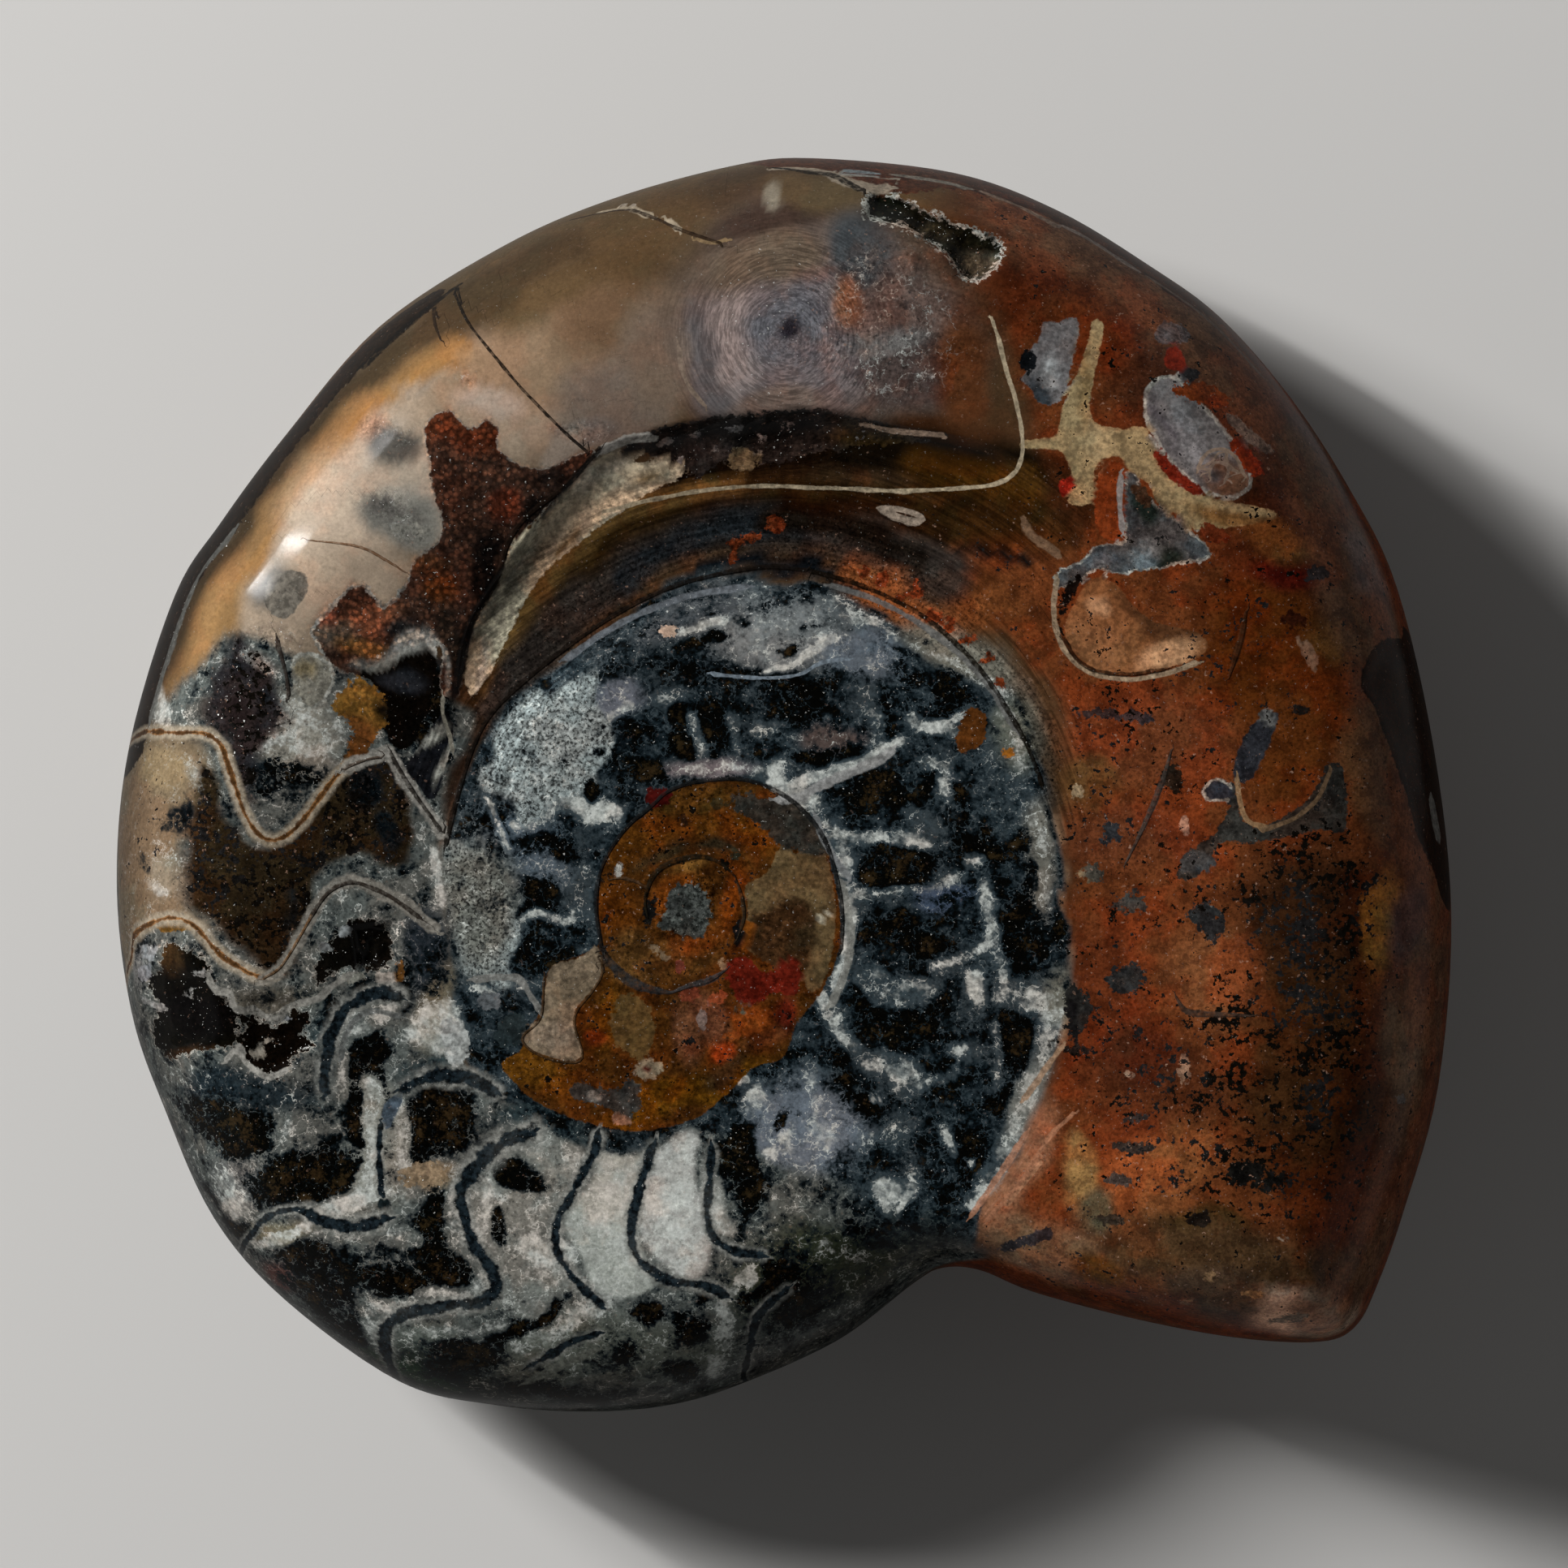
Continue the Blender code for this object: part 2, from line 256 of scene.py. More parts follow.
def net_faces(counts):
    """Corners of every face of the net: rings joined one to the next, and a fan at each end."""
    starts = np.cumsum([1] + counts)
    rings = [np.arange(start, start + count) for start, count in zip(starts, counts)]
    last = starts[-1]
    faces = [[0, here, there] for here, there in zip(rings[0], np.roll(rings[0], -1))]
    for first, second in zip(rings, rings[1:]):
        faces += join(first, second)
    faces += [[last, there, here] for here, there in zip(rings[-1], np.roll(rings[-1], -1))]
    return faces


face_rings, back_rings = net_rings()
ring_counts = [len(ring) for ring in face_rings + back_rings]
flat_place = np.vstack([on_shell(COIL_MIDDLE)] + face_rings + back_rings + [(0.0, 0.0)])
COUNT = len(flat_place)
X, Y = flat_place.T
rim_end = 1 + sum(len(ring) for ring in face_rings)
on_face = np.arange(COUNT) < rim_end
inset = np.maximum(edge_distance(curve_through(on_shell(OUTLINE), RIM_STEPS), X, Y), 0.0)
inset[rim_end - len(face_rings[-1]):rim_end] = 0.0
from_middle = np.stack([X, Y], axis=1) - on_shell(COIL_MIDDLE)
coil_radius = np.hypot(*from_middle.T)
coil_angle = np.arctan2(from_middle[:, 1], from_middle[:, 0])
face_shoulder = SHOULDER_WIDTH - (SHOULDER_WIDTH - LIP_ROUNDING) * window(coil_angle, LIP_ARC)
face_rounding = shoulder(inset, face_shoulder)
back_rounding = shoulder(inset, BACK_ROUNDING)
back_rise = BACK_RISE * (np.maximum(np.hypot(X, Y) - FLAT_RADIUS, 0.0) / BACK_SPREAD) ** 2
back_height = RIM_HEIGHT * (1 - back_rounding) + back_rise * back_rounding
relief = coil_relief(coil_radius, coil_angle)

# The drawing wraps over the rim: seen from above it is true up to SIDE_START from the edge, and from there
# it goes on round the side at its own length. The back carries the same drawing from the rim inwards, turned
# more and more, and its fillings and fine lines end soon past the rim, so that it doesn't mirror the face.
SIDE_START = 1.0
SIDE_HEIGHT = 12.0
SIDE_STEPS = 80
BACK_TURN_PER_MM = 0.06
steps_in = np.linspace(0.0, SIDE_START, SIDE_STEPS)
side_profile = SIDE_HEIGHT * shoulder(steps_in, SHOULDER_WIDTH)
side_run = np.concatenate([[0.0], np.cumsum(np.hypot(np.diff(side_profile), np.diff(steps_in)))])
side_extra = side_run[-1] - side_run - (SIDE_START - steps_in)
extra = np.interp(inset, steps_in, side_extra, right=0.0)
past_rim = np.where(on_face, 0.0, (side_extra[0] - extra + inset) / UNIT)
drawn_radius = coil_radius + extra
drawn_angle = coil_angle + np.where(on_face, 0.0, BACK_TURN_PER_MM * inset)
outward = np.stack([np.cos(drawn_angle), np.sin(drawn_angle)], axis=1)
wrapped = on_shell(COIL_MIDDLE) + outward * drawn_radius[:, None]
U, V = (wrapped * (1, -1) / UNIT + DRAWN_MIDDLE).T

# The edges of soft marks wander, in small bends and in large: how far each goes, and over what length.
LATTICE = 89
LATTICE_SHIFT = 2000
DRIFTS = ((9, 38), (20, 110))


def lumps(size, seed):
    """Smooth random values from -1 to 1 over the drawing, in lumps of the given size in drawing units."""
    lattice = np.random.default_rng(seed).uniform(-1, 1, (LATTICE, LATTICE))
    column, row = (U + LATTICE_SHIFT) / size, (V + LATTICE_SHIFT) / size
    left, top = np.floor(column).astype(int), np.floor(row).astype(int)
    across, down = smooth_step(column - left), smooth_step(row - top)
    steps = ((0, 0), (1, 0), (0, 1), (1, 1))
    corners = [lattice[(left + dx) % LATTICE, (top + dy) % LATTICE] for dx, dy in steps]
    upper = corners[0] + (corners[1] - corners[0]) * across
    lower = corners[2] + (corners[3] - corners[2]) * across
    return upper + (lower - upper) * down


def drift(seed):
    """How far soft marks wander in one direction."""
    return sum(far * lumps(length, seed + number) for number, (far, length) in enumerate(DRIFTS))


DRIFTED_U, DRIFTED_V = U + drift(seed=1), V + drift(seed=3)

# The outer turn
# The last turn of the coil, over the top and down the left, where the shell is gone and clear calcite shows:
# cream and rose, with a golden band along the crest, browner to the top and clouded grey in places.
LOOP_STEPS = 4
BAND_STEPS = 3


def tone(red, green, blue):
    """A colour as it looks on screen, 0 to 255, as the light value that the stone's colours are mixed in."""
    share = np.array([red, green, blue]) / 255
    return np.where(share <= 0.04045, share / 12.92, ((share + 0.055) / 1.055) ** 2.4)


def spot(x, y, half_width, half_height, turn=0, soft=0.8):
    """A soft-edged oval cloud, as how much it covers each point. Its turn is clockwise, in degrees."""
    cosine, sine = math.cos(math.radians(turn)), math.sin(math.radians(turn))
    across, down = DRIFTED_U - x, DRIFTED_V - y
    wide, high = (across * cosine + down * sine) / half_width, (down * cosine - across * sine) / half_height
    return smooth_step((1 + soft / 2 - np.hypot(wide, high)) / soft)


def band(path, half_width, soft=0.9):
    """A soft-edged band along a path."""
    line = curve_through(path, BAND_STEPS, closed=False)
    nearest = np.minimum.reduce([gap for *_, gap in stretches(line, DRIFTED_U, DRIFTED_V)])
    return smooth_step((1 + soft / 2 - nearest / half_width) / soft)


def area(outline, soft=30):
    """A soft-edged area inside an outline."""
    loop = curve_through(outline, LOOP_STEPS)
    return smooth_step(edge_distance(loop, DRIFTED_U, DRIFTED_V) / soft + 0.5)


def paint(channel, cover, value):
    """Brings a channel towards a value where the cover lies."""
    channel += (value - channel) * (cover[:, None] if channel.ndim > 1 else cover)


def tint(channel, clouds):
    """Colours a channel with soft clouds, each a place, half sizes, perhaps a turn, and a colour."""
    for *place_and_size, colour in clouds:
        paint(channel, spot(*place_and_size), tone(*colour))


def wash(cover, **values):
    """Brings the named looks of the stone towards new values where the cover lies."""
    for name, value in values.items():
        paint(looks[name], cover, tone(*value) if name == "ground" else value)


# The stone's looks at each point. Where the level falls, dark crystal takes the place of the ground colour,
# and where it rises, white, and restless says how much the level varies there. Mottle clouds the colour,
# specks are of black ore, glint is painted highlights, where single crystals would catch the lamp, and bare
# is stone that missed the polish.
ground = np.tile(tone(62, 44, 28), (COUNT, 1))
looks = {"ground": ground}
for name, start in (("level", 0.62), ("restless", 0.12), ("mottle", 0.35), ("glint", 0.1), ("specks", 0.0),
                    ("grit", 0.0), ("crackle", 0.0), ("bare", 0.0), ("scratch", 0.0)):
    looks[name] = np.full(COUNT, start)

OUTER_TURN = [
    (140, 1120), (170, 960), (250, 740), (370, 570), (500, 440), (660, 350), (830, 290), (1010, 270),
]
CREST_BAND = [(240, 850), (268, 770), (300, 700), (345, 630), (415, 550), (500, 470), (570, 420)]
wash(band(OUTER_TURN, 210), ground=(70, 55, 37))
CREAM_BAND = [(240, 980), (300, 790), (400, 670), (500, 560), (620, 470)]
wash(band(CREAM_BAND + [(740, 420)], 100), ground=(138, 120, 103))
tint(ground, (
    (660, 440, 130, 62, -28, (126, 103, 82)), (760, 390, 80, 60, -20, (94, 74, 56)),
    (700, 340, 110, 40, -24, (78, 62, 42)), (820, 300, 110, 60, -15, (68, 52, 34)),
    (950, 240, 110, 45, (58, 44, 31)), (745, 500, 80, 48, -15, (100, 86, 76)),
    (800, 440, 40, 60, (102, 85, 72))))
wash(band(CREST_BAND, 24), ground=(122, 84, 44))
RIM_STRIP = [(200, 950), (220, 840), (248, 750), (306, 652), (386, 553), (476, 456), (574, 377), (702, 312)]
wash(band(RIM_STRIP, 26), ground=(58, 45, 30))
# The lightest cream clouds round the crest's highlight, at (425, 640), (435, 720) and (500, 600), are partly
# the stone's cream and partly a painted glow of the highlight.
tint(ground, (
    (425, 640, 84, 70, -45, (162, 143, 125)), (435, 720, 68, 40, (147, 128, 110)),
    (500, 600, 60, 60, (151, 135, 119)), (285, 785, 30, 80, 15, (118, 89, 57)),
    (200, 980, 50, 70, (96, 81, 62)), (510, 640, 40, 30, 20, (136, 128, 118)),
    (498, 562, 30, 20, -20, (70, 65, 60)), (480, 645, 26, 20, 30, (96, 92, 86)),
    (520, 655, 26, 30, (108, 104, 97)), (520, 480, 26, 12, (124, 108, 94)),
    (590, 430, 20, 16, (126, 104, 82)), (706, 532, 40, 18, -15, (92, 86, 82)),
    (355, 733, 26, 30, (88, 81, 74)), (680, 560, 20, 40, 30, (118, 108, 98)),
    (600, 500, 30, 24, (150, 132, 118))))
wash(0.5 * band(CREST_BAND, 18), ground=(142, 106, 68))
wash(band(OUTER_TURN, 200), mottle=0.26)
wash(band(CREAM_BAND, 90), restless=0.12)
for place_and_size in ((482, 545, 26, 14), (484, 636, 26, 18), (515, 655, 20, 16), (577, 466, 8, 8),
                       (700, 530, 40, 14), (360, 800, 30, 14)):
    wash(spot(*place_and_size), glint=1.0, mottle=0.9, restless=0.35)

# The face's fillings
# Minerals filled the shell's hollows before the polishing: each filling is flush with the face and ends at
# a sharp edge, some with a pale rind where crystals grew on the wall first. Smaller inlays lie within them.
FAR = 60.0
COVER_SOFTNESS = 8
LUMP_CORNERS = 11
LUMP_WAVES = (0.13, 0.1)


def sheet():
    """A layer of sharp-edged fillings: distance in from the edge, colour, width of rind and raggedness."""
    return {"edge": np.full(COUNT, -FAR), "tone": np.zeros((COUNT, 3)), "rind": np.zeros(COUNT),
            "ragged": np.zeros(COUNT)}


def lump(x, y, half_width, half_height, turn=0):
    """An uneven oval outline."""
    angles = np.arange(LUMP_CORNERS) * 2 * math.pi / LUMP_CORNERS
    uneven = 1 + LUMP_WAVES[0] * np.sin(2 * angles + x) + LUMP_WAVES[1] * np.sin(3 * angles + y)
    across, down = half_width * uneven * np.cos(angles), half_height * uneven * np.sin(angles)
    cosine, sine = math.cos(math.radians(turn)), math.sin(math.radians(turn))
    return np.stack([x + across * cosine - down * sine, y + across * sine + down * cosine], axis=1)


def lay(layer, outline, colour, ragged=5.0, rind=0.0):
    """Lays one filling in a layer, over those before it, and returns its cover.

    Its outline is a list of corners, or the place, half sizes and perhaps the turn of an uneven oval.
    """
    loop = curve_through(lump(*outline) if np.ndim(outline) == 1 else outline, LOOP_STEPS)
    lowest, highest = loop.min(axis=0) - FAR, loop.max(axis=0) + FAR
    near = (U > lowest[0]) & (U < highest[0]) & (V > lowest[1]) & (V < highest[1])
    edge = np.full(COUNT, -FAR)
    edge[near] = np.maximum(edge_distance(loop, U[near], V[near]), -FAR)
    taken = (edge > layer["edge"]) | (edge > 0)
    layer["tone"][taken] = tone(*colour)
    layer["rind"][taken] = rind
    layer["ragged"][taken] = ragged
    layer["edge"] = np.maximum(layer["edge"], edge)
    return smooth_step(edge / COVER_SOFTNESS + 0.5)


filling, inlay = sheet(), sheet()

RED_SPAR = [
    (527, 550), (530, 522), (557, 508), (570, 522), (586, 531), (602, 520), (617, 533), (615, 556),
    (637, 573), (659, 579), (685, 578), (704, 568), (732, 556), (722, 580), (691, 612), (666, 640),
    (637, 668), (626, 700), (607, 740), (588, 775), (575, 815), (566, 860), (545, 850), (548, 800),
    (530, 790), (500, 800), (470, 815), (445, 832), (415, 822), (398, 800), (387, 776), (412, 748),
    (440, 722), (456, 724), (476, 746), (502, 722), (515, 690), (542, 670), (548, 642), (536, 610),
    (532, 577),
]
cover = lay(filling, RED_SPAR, (56, 40, 32), ragged=6, rind=1.4)
wash(cover, crackle=1.0, glint=0.5, mottle=0.7)
tint(filling["tone"], (
    (565, 535, 40, 28, (78, 42, 26)), (600, 545, 30, 24, (70, 38, 24)), (550, 730, 24, 20, (78, 46, 24)),
    (530, 700, 28, 14, (70, 46, 30)), (610, 635, 16, 22, (84, 42, 28)), (470, 765, 34, 18, (112, 76, 56)),
    (420, 785, 26, 20, (84, 76, 66)), (408, 765, 14, 14, (100, 60, 46)), (450, 800, 26, 12, (96, 70, 40)),
    (490, 775, 26, 10, (36, 36, 36)), (600, 700, 16, 40, (16, 12, 10)), (650, 655, 26, 30, (18, 15, 13)),
    (680, 600, 40, 16, (34, 26, 22)), (560, 800, 16, 50, (40, 32, 26))))
paint(filling["rind"], spot(450, 770, 80, 45), 6.0)
GOLDEN_PATCH = [
    (416, 868), (430, 846), (446, 836), (464, 845), (476, 862), (480, 884), (468, 905), (456, 925),
    (442, 945), (428, 952), (426, 936), (434, 915), (438, 898), (424, 886),
]
cover = lay(inlay, GOLDEN_PATCH, (104, 74, 32), ragged=12)
tint(inlay["tone"], (
    (448, 925, 20, 24, (84, 52, 24)), (432, 935, 8, 16, (22, 12, 6)), (478, 884, 12, 16, (20, 14, 8)),
    (426, 862, 16, 10, (62, 40, 22)), (455, 868, 12, 9, (134, 96, 44))))
wash(cover, crackle=0.4)
lay(inlay, (355, 732, 27, 29), (92, 85, 77), ragged=3)

# The scratched eye
# On the crest near the top the grinding wheel left a round mark: rings of fine scratches round one point,
# in mauve-grey shell with rusty and slate-blue clouds.
EYE_MIDDLE = (970, 418)
tint(ground, (
    (1010, 400, 175, 118, 8, (82, 70, 66)), (960, 430, 105, 95, (98, 88, 88)),
    (900, 425, 34, 80, 8, (122, 110, 107)), (868, 450, 18, 70, -12, (84, 78, 78)),
    (940, 335, 80, 34, -6, (86, 72, 60)), (945, 288, 80, 18, -8, (52, 40, 34)),
    (1070, 325, 42, 52, -20, (56, 58, 60)), (1052, 385, 22, 22, (108, 76, 58)),
    (1150, 385, 50, 26, (84, 68, 62)), (1130, 450, 60, 50, (66, 55, 52)),
    (1100, 415, 50, 16, -15, (92, 88, 86)), (970, 420, 52, 48, (86, 84, 88)),
    (970, 418, 14, 13, (34, 32, 38)), (945, 505, 60, 14, (100, 84, 76)), (1185, 450, 34, 80, (78, 44, 24)),
    (1160, 530, 70, 22, (60, 34, 18)), (1010, 250, 60, 26, (74, 60, 42)),
    (960, 262, 12, 20, 30, (110, 104, 92))))
wash(spot(985, 415, 150, 118), scratch=1.0)
wash(spot(1100, 400, 140, 100), mottle=0.8)
wash(spot(1095, 410, 80, 80), restless=0.5)
wash(spot(1120, 400, 60, 90), scratch=0.4)
wash(spot(950, 420, 80, 90), glint=0.6)

# The living chamber
# The open end of the shell filled with orange-red mudstone, which took the polish too. It is mottled brown
# and rusty, duller and mauve along the rim, with specks of black ore thickest low down in the middle.
LIVING_CHAMBER = [
    (1150, 130), (1215, 300), (1240, 400), (1262, 560), (1215, 600), (1110, 625), (1180, 690), (1250, 780),
    (1300, 900), (1322, 1050), (1318, 1200), (1290, 1330), (1230, 1460), (1165, 1560), (1300, 1690),
    (1500, 1790), (1780, 1790), (1930, 1300), (1900, 850), (1750, 480), (1550, 280), (1350, 130),
]
wash(area(LIVING_CHAMBER, 24), ground=(90, 46, 22))
wash(area(LIVING_CHAMBER, 40), mottle=1.0)
# The light cloud on the lower rim at (1620, 1618) is painted light that makes up for the shade where the
# shoulder turns away from the lamp.
tint(ground, (
    (1300, 330, 150, 90, 20, (62, 31, 15)), (1480, 440, 150, 120, 45, (58, 31, 19)),
    (1590, 620, 110, 130, (54, 28, 15)), (1360, 400, 60, 60, (84, 38, 16)),
    (1520, 480, 60, 40, 40, (84, 42, 20)), (1290, 620, 60, 60, (48, 26, 12)),
    (1210, 640, 90, 30, 15, (58, 32, 12)), (1230, 740, 60, 30, 30, (92, 50, 24)),
    (1560, 790, 90, 90, (72, 34, 9)), (1600, 700, 70, 20, (66, 16, 8)), (1570, 660, 60, 26, 10, (92, 58, 28)),
    (1650, 780, 40, 40, (88, 56, 26)), (1400, 900, 110, 60, (92, 48, 26)), (1345, 960, 40, 36, (84, 56, 30)),
    (1400, 1040, 90, 50, (88, 46, 26)), (1600, 900, 60, 90, (80, 40, 14)),
    (1690, 960, 24, 90, -12, (94, 60, 36)), (1440, 1150, 110, 90, (88, 45, 22)),
    (1500, 1200, 60, 50, (102, 60, 34)), (1350, 1250, 60, 110, (84, 38, 18)),
    (1440, 1350, 90, 80, (76, 38, 19)), (1600, 1150, 80, 120, (46, 25, 12)),
    (1600, 1330, 90, 130, (54, 31, 14)), (1400, 1300, 50, 46, (58, 28, 15)),
    (1430, 1440, 90, 40, -30, (110, 64, 34)), (1480, 1496, 50, 18, (58, 42, 18)),
    (1500, 1545, 170, 50, 10, (66, 46, 28)), (1620, 1618, 80, 34, 8, (200, 176, 154)),
    (1500, 1590, 60, 30, 10, (70, 52, 38)), (1270, 1535, 90, 40, 12, (98, 74, 54)),
    (1350, 1560, 40, 24, 20, (74, 44, 14)), (1320, 1445, 22, 40, (124, 92, 54)),
    (1345, 1490, 30, 20, (70, 64, 48)), (1235, 1440, 34, 90, 28, (130, 88, 64))))
CHAMBER_RIM = [
    (1240, 250), (1420, 350), (1540, 470), (1630, 600), (1690, 760), (1740, 980), (1762, 1180), (1745, 1380),
    (1690, 1560), (1640, 1620),
]
# The band along the rim is partly the duller, mauve stone of the rim and partly painted light, lighter to
# make up for the shade where the right flank turns away from the lamp.
wash(0.8 * band(CHAMBER_RIM, 44), ground=(92, 64, 46))
tint(ground, (
    (1692, 1140, 24, 62, (136, 98, 44)), (1726, 1150, 20, 50, (82, 62, 58)),
    (1735, 1290, 30, 70, (104, 78, 58)), (1690, 690, 16, 60, -20, (92, 74, 70)),
    (1600, 520, 24, 60, -40, (74, 50, 46))))
wash(area(LIVING_CHAMBER, 40), specks=0.25)
ORE_CLOUDS = (
    (1600, 1230, 80, 220, 1.0), (1420, 1250, 120, 220, 0.5), (1390, 930, 110, 130, 0.45),
    (1540, 1420, 110, 60, 0.8), (1560, 1110, 70, 30, 0.9), (1500, 1320, 60, 24, 0.85),
    (1480, 770, 60, 60, 0.5), (1630, 1080, 40, 70, 0.9), (1480, 1240, 50, 20, 0.9), (1470, 1340, 40, 24, 0.8))
for *place_and_size, value in ORE_CLOUDS:
    wash(spot(*place_and_size, soft=1.2), specks=value)
wash(0.8 * spot(1460, 1190, 50, 40), specks=0.2)

# Small shells and veins in the mudstone
# Broken shells and a forked crack were caught in the mud: cream calcite in the crack, slate-grey and lilac
# crystal in the small shells, tan mud inside the round one, and red iron stain beside them.
SMALL_SHELLS = (
    ([(1343, 397), (1357, 404), (1353, 430), (1346, 467), (1340, 499), (1346, 524), (1379, 532), (1408, 530),
      (1425, 575), (1450, 600), (1490, 617), (1551, 628), (1570, 640), (1530, 650), (1474, 656), (1452, 638),
      (1424, 625), (1412, 600), (1390, 585), (1375, 566), (1352, 572), (1345, 591), (1342, 622), (1313, 622),
      (1320, 595), (1308, 563), (1290, 556), (1257, 556), (1260, 546), (1296, 542), (1303, 525), (1308, 500),
      (1322, 470), (1336, 432)], (132, 113, 82), 3),
    ([(1383, 590), (1392, 584), (1402, 600), (1420, 625), (1452, 648), (1490, 684), (1455, 697), (1400, 705),
      (1378, 710), (1345, 705), (1325, 722), (1297, 724), (1300, 704), (1328, 696), (1345, 676), (1382, 668),
      (1380, 630)], (66, 69, 71), 6, 3),
    ([(1349, 590), (1362, 574), (1378, 574), (1383, 600), (1382, 640), (1378, 664), (1360, 668), (1348, 650),
      (1346, 620)], (104, 44, 18), 4),
    ([(1303, 596), (1318, 590), (1322, 600), (1312, 614), (1305, 612)], (120, 30, 20), 3),
    ([(1407, 489), (1420, 470), (1447, 468), (1475, 498), (1505, 532), (1537, 580), (1533, 608), (1506, 617),
      (1476, 606), (1442, 577), (1420, 546), (1407, 514)], (98, 95, 95), 3, 5),
    ((1444, 446, 15, 14), (104, 30, 16), 2), ((1440, 415, 20, 16), (84, 76, 76), 6),
    ((1462, 466, 14, 8, -20), (40, 38, 38), 4),
    ([(1262, 462), (1264, 440), (1280, 420), (1284, 400), (1303, 402), (1322, 394), (1327, 412), (1320, 440),
      (1312, 483), (1300, 500), (1278, 500), (1264, 478), (1250, 465)], (92, 88, 88), 5),
    ([(1322, 745), (1334, 722), (1352, 712), (1372, 722), (1392, 745), (1420, 768), (1470, 780), (1484, 798),
      (1468, 814), (1440, 822), (1395, 832), (1358, 830), (1328, 812), (1311, 785), (1312, 762)],
     (110, 70, 42), 3),
    ([(1546, 886), (1560, 876), (1570, 884), (1562, 912), (1548, 940), (1536, 960), (1516, 962), (1518, 935),
      (1530, 906)], (38, 38, 42), 4),
    ([(1516, 962), (1522, 996), (1536, 1018), (1560, 1014), (1590, 998), (1612, 976), (1630, 946),
      (1646, 940), (1654, 980), (1652, 1022), (1612, 1022), (1570, 1034), (1530, 1038), (1500, 1040),
      (1470, 1080), (1448, 1080), (1460, 1050), (1490, 1030), (1508, 1000)], (42, 40, 37), 7),
    ((1497, 974, 17, 16), (36, 38, 44), 3, 3), ((1558, 884, 12, 11), (82, 80, 78), 4),
    ((1607, 806, 9, 22, -25), (112, 84, 66), 4), ((1470, 1062, 22, 14, -20), (52, 56, 58), 7))
for outline, colour, ragged, *rind in SMALL_SHELLS:
    cover = lay(filling, outline, colour, ragged, *rind)
    wash(cover, mottle=0.9 if max(colour) < 90 else 0.3)
tint(filling["tone"], (
    (1500, 585, 36, 28, 30, (94, 64, 48)), (1487, 582, 14, 12, (70, 64, 64)),
    (1400, 690, 20, 12, (96, 104, 108)), (1352, 700, 16, 10, (84, 92, 98)), (1430, 690, 20, 10, (28, 34, 30)),
    (1395, 640, 12, 26, -20, (24, 30, 26)), (1455, 540, 16, 40, -30, (118, 116, 118)),
    (1425, 520, 8, 36, -20, (80, 76, 80)), (1270, 480, 14, 22, -20, (42, 46, 50)),
    (1290, 455, 10, 16, (130, 130, 130)), (1500, 640, 60, 12, 8, (104, 74, 42)),
    (1560, 645, 24, 10, (86, 54, 26)), (1338, 520, 22, 46, 10, (144, 124, 92)),
    (1330, 470, 8, 50, 10, (120, 98, 66)), (1435, 800, 34, 18, -25, (158, 118, 86)),
    (1362, 746, 14, 8, 45, (150, 112, 82)), (1440, 760, 60, 20, 20, (70, 42, 24)),
    (1350, 790, 30, 30, (116, 76, 48))))
ORE_AND_STAINS = (
    ([(1420, 546), (1445, 580), (1480, 608), (1470, 614), (1440, 596), (1418, 566)], (92, 30, 18), 3),
    ([(1508, 545), (1530, 552), (1552, 580), (1540, 592), (1520, 566)], (110, 38, 14), 5),
    ([(1508, 512), (1522, 518), (1545, 538), (1566, 556), (1558, 562), (1530, 545), (1512, 526)],
     (96, 88, 82), 3),
    ((1480, 490, 36, 12, 20), (104, 46, 18), 6), ((1265, 450, 9, 16), (14, 16, 18), 4),
    ((1402, 612, 9, 20, -30), (58, 40, 28), 5),
    ([(1304, 745), (1312, 722), (1322, 712), (1330, 716), (1318, 740), (1308, 765), (1308, 790), (1300, 775)],
     (14, 10, 8), 4),
    ((1490, 660, 18, 12), (84, 34, 16), 5), ((1618, 710, 14, 10), (40, 38, 40), 5),
    ((1590, 765, 16, 10), (44, 18, 8), 7), ((1597, 875, 9, 9), (24, 20, 18), 5),
    ((1385, 1205, 22, 18), (36, 36, 36), 9), ((1325, 1240, 16, 26), (38, 36, 34), 8),
    ((1395, 1410, 26, 8), (40, 38, 36), 5), ((1395, 1375, 16, 6, -20), (40, 38, 38), 5),
    ((1480, 1125, 22, 12), (38, 38, 38), 8), ((1375, 1450, 20, 7), (54, 52, 50), 6),
    ((1265, 1525, 30, 8, -18), (46, 42, 44), 6), ((1530, 1440, 26, 14), (18, 16, 14), 8),
    ((1560, 1455, 20, 10, -25), (18, 17, 15), 8), ((1475, 1500, 16, 8), (26, 20, 16), 6),
    ((1365, 1500, 20, 8), (40, 34, 28), 6), ((1540, 1590, 16, 6), (122, 92, 62), 3),
    ((1487, 1568, 9, 7), (110, 84, 60), 3), ((1578, 1522, 9, 5), (108, 92, 80), 3),
    ((1460, 1600, 8, 4), (110, 90, 70), 3), ((1388, 1322, 7, 5), (120, 100, 84), 3),
    ((1455, 1315, 7, 18), (116, 86, 68), 5), ((1456, 1016, 7, 10), (128, 104, 90), 3),
    ((1490, 1140, 16, 20), (30, 28, 28), 9), ((1392, 1112, 18, 12), (50, 50, 48), 9),
    ((1365, 1025, 12, 16), (40, 40, 42), 9), ((1345, 880, 20, 6), (44, 36, 36), 7),
    ((1395, 885, 24, 7), (48, 42, 44), 7), ((1440, 960, 12, 18), (32, 26, 20), 9),
    ((1325, 975, 8, 9), (134, 112, 86), 5), ((1334, 1078, 7, 9), (118, 96, 72), 5),
    ((1345, 1075, 10, 12), (72, 66, 58), 8), ((1325, 1290, 20, 7), (26, 22, 20), 8),
    ((1318, 1255, 10, 22), (20, 18, 18), 8), ((1585, 1620, 24, 6, -10), (96, 92, 84), 4),
    ((1722, 1352, 6, 6), (110, 98, 92), 3))
for outline, colour, ragged in ORE_AND_STAINS:
    lay(inlay, outline, colour, 1.7 * ragged)
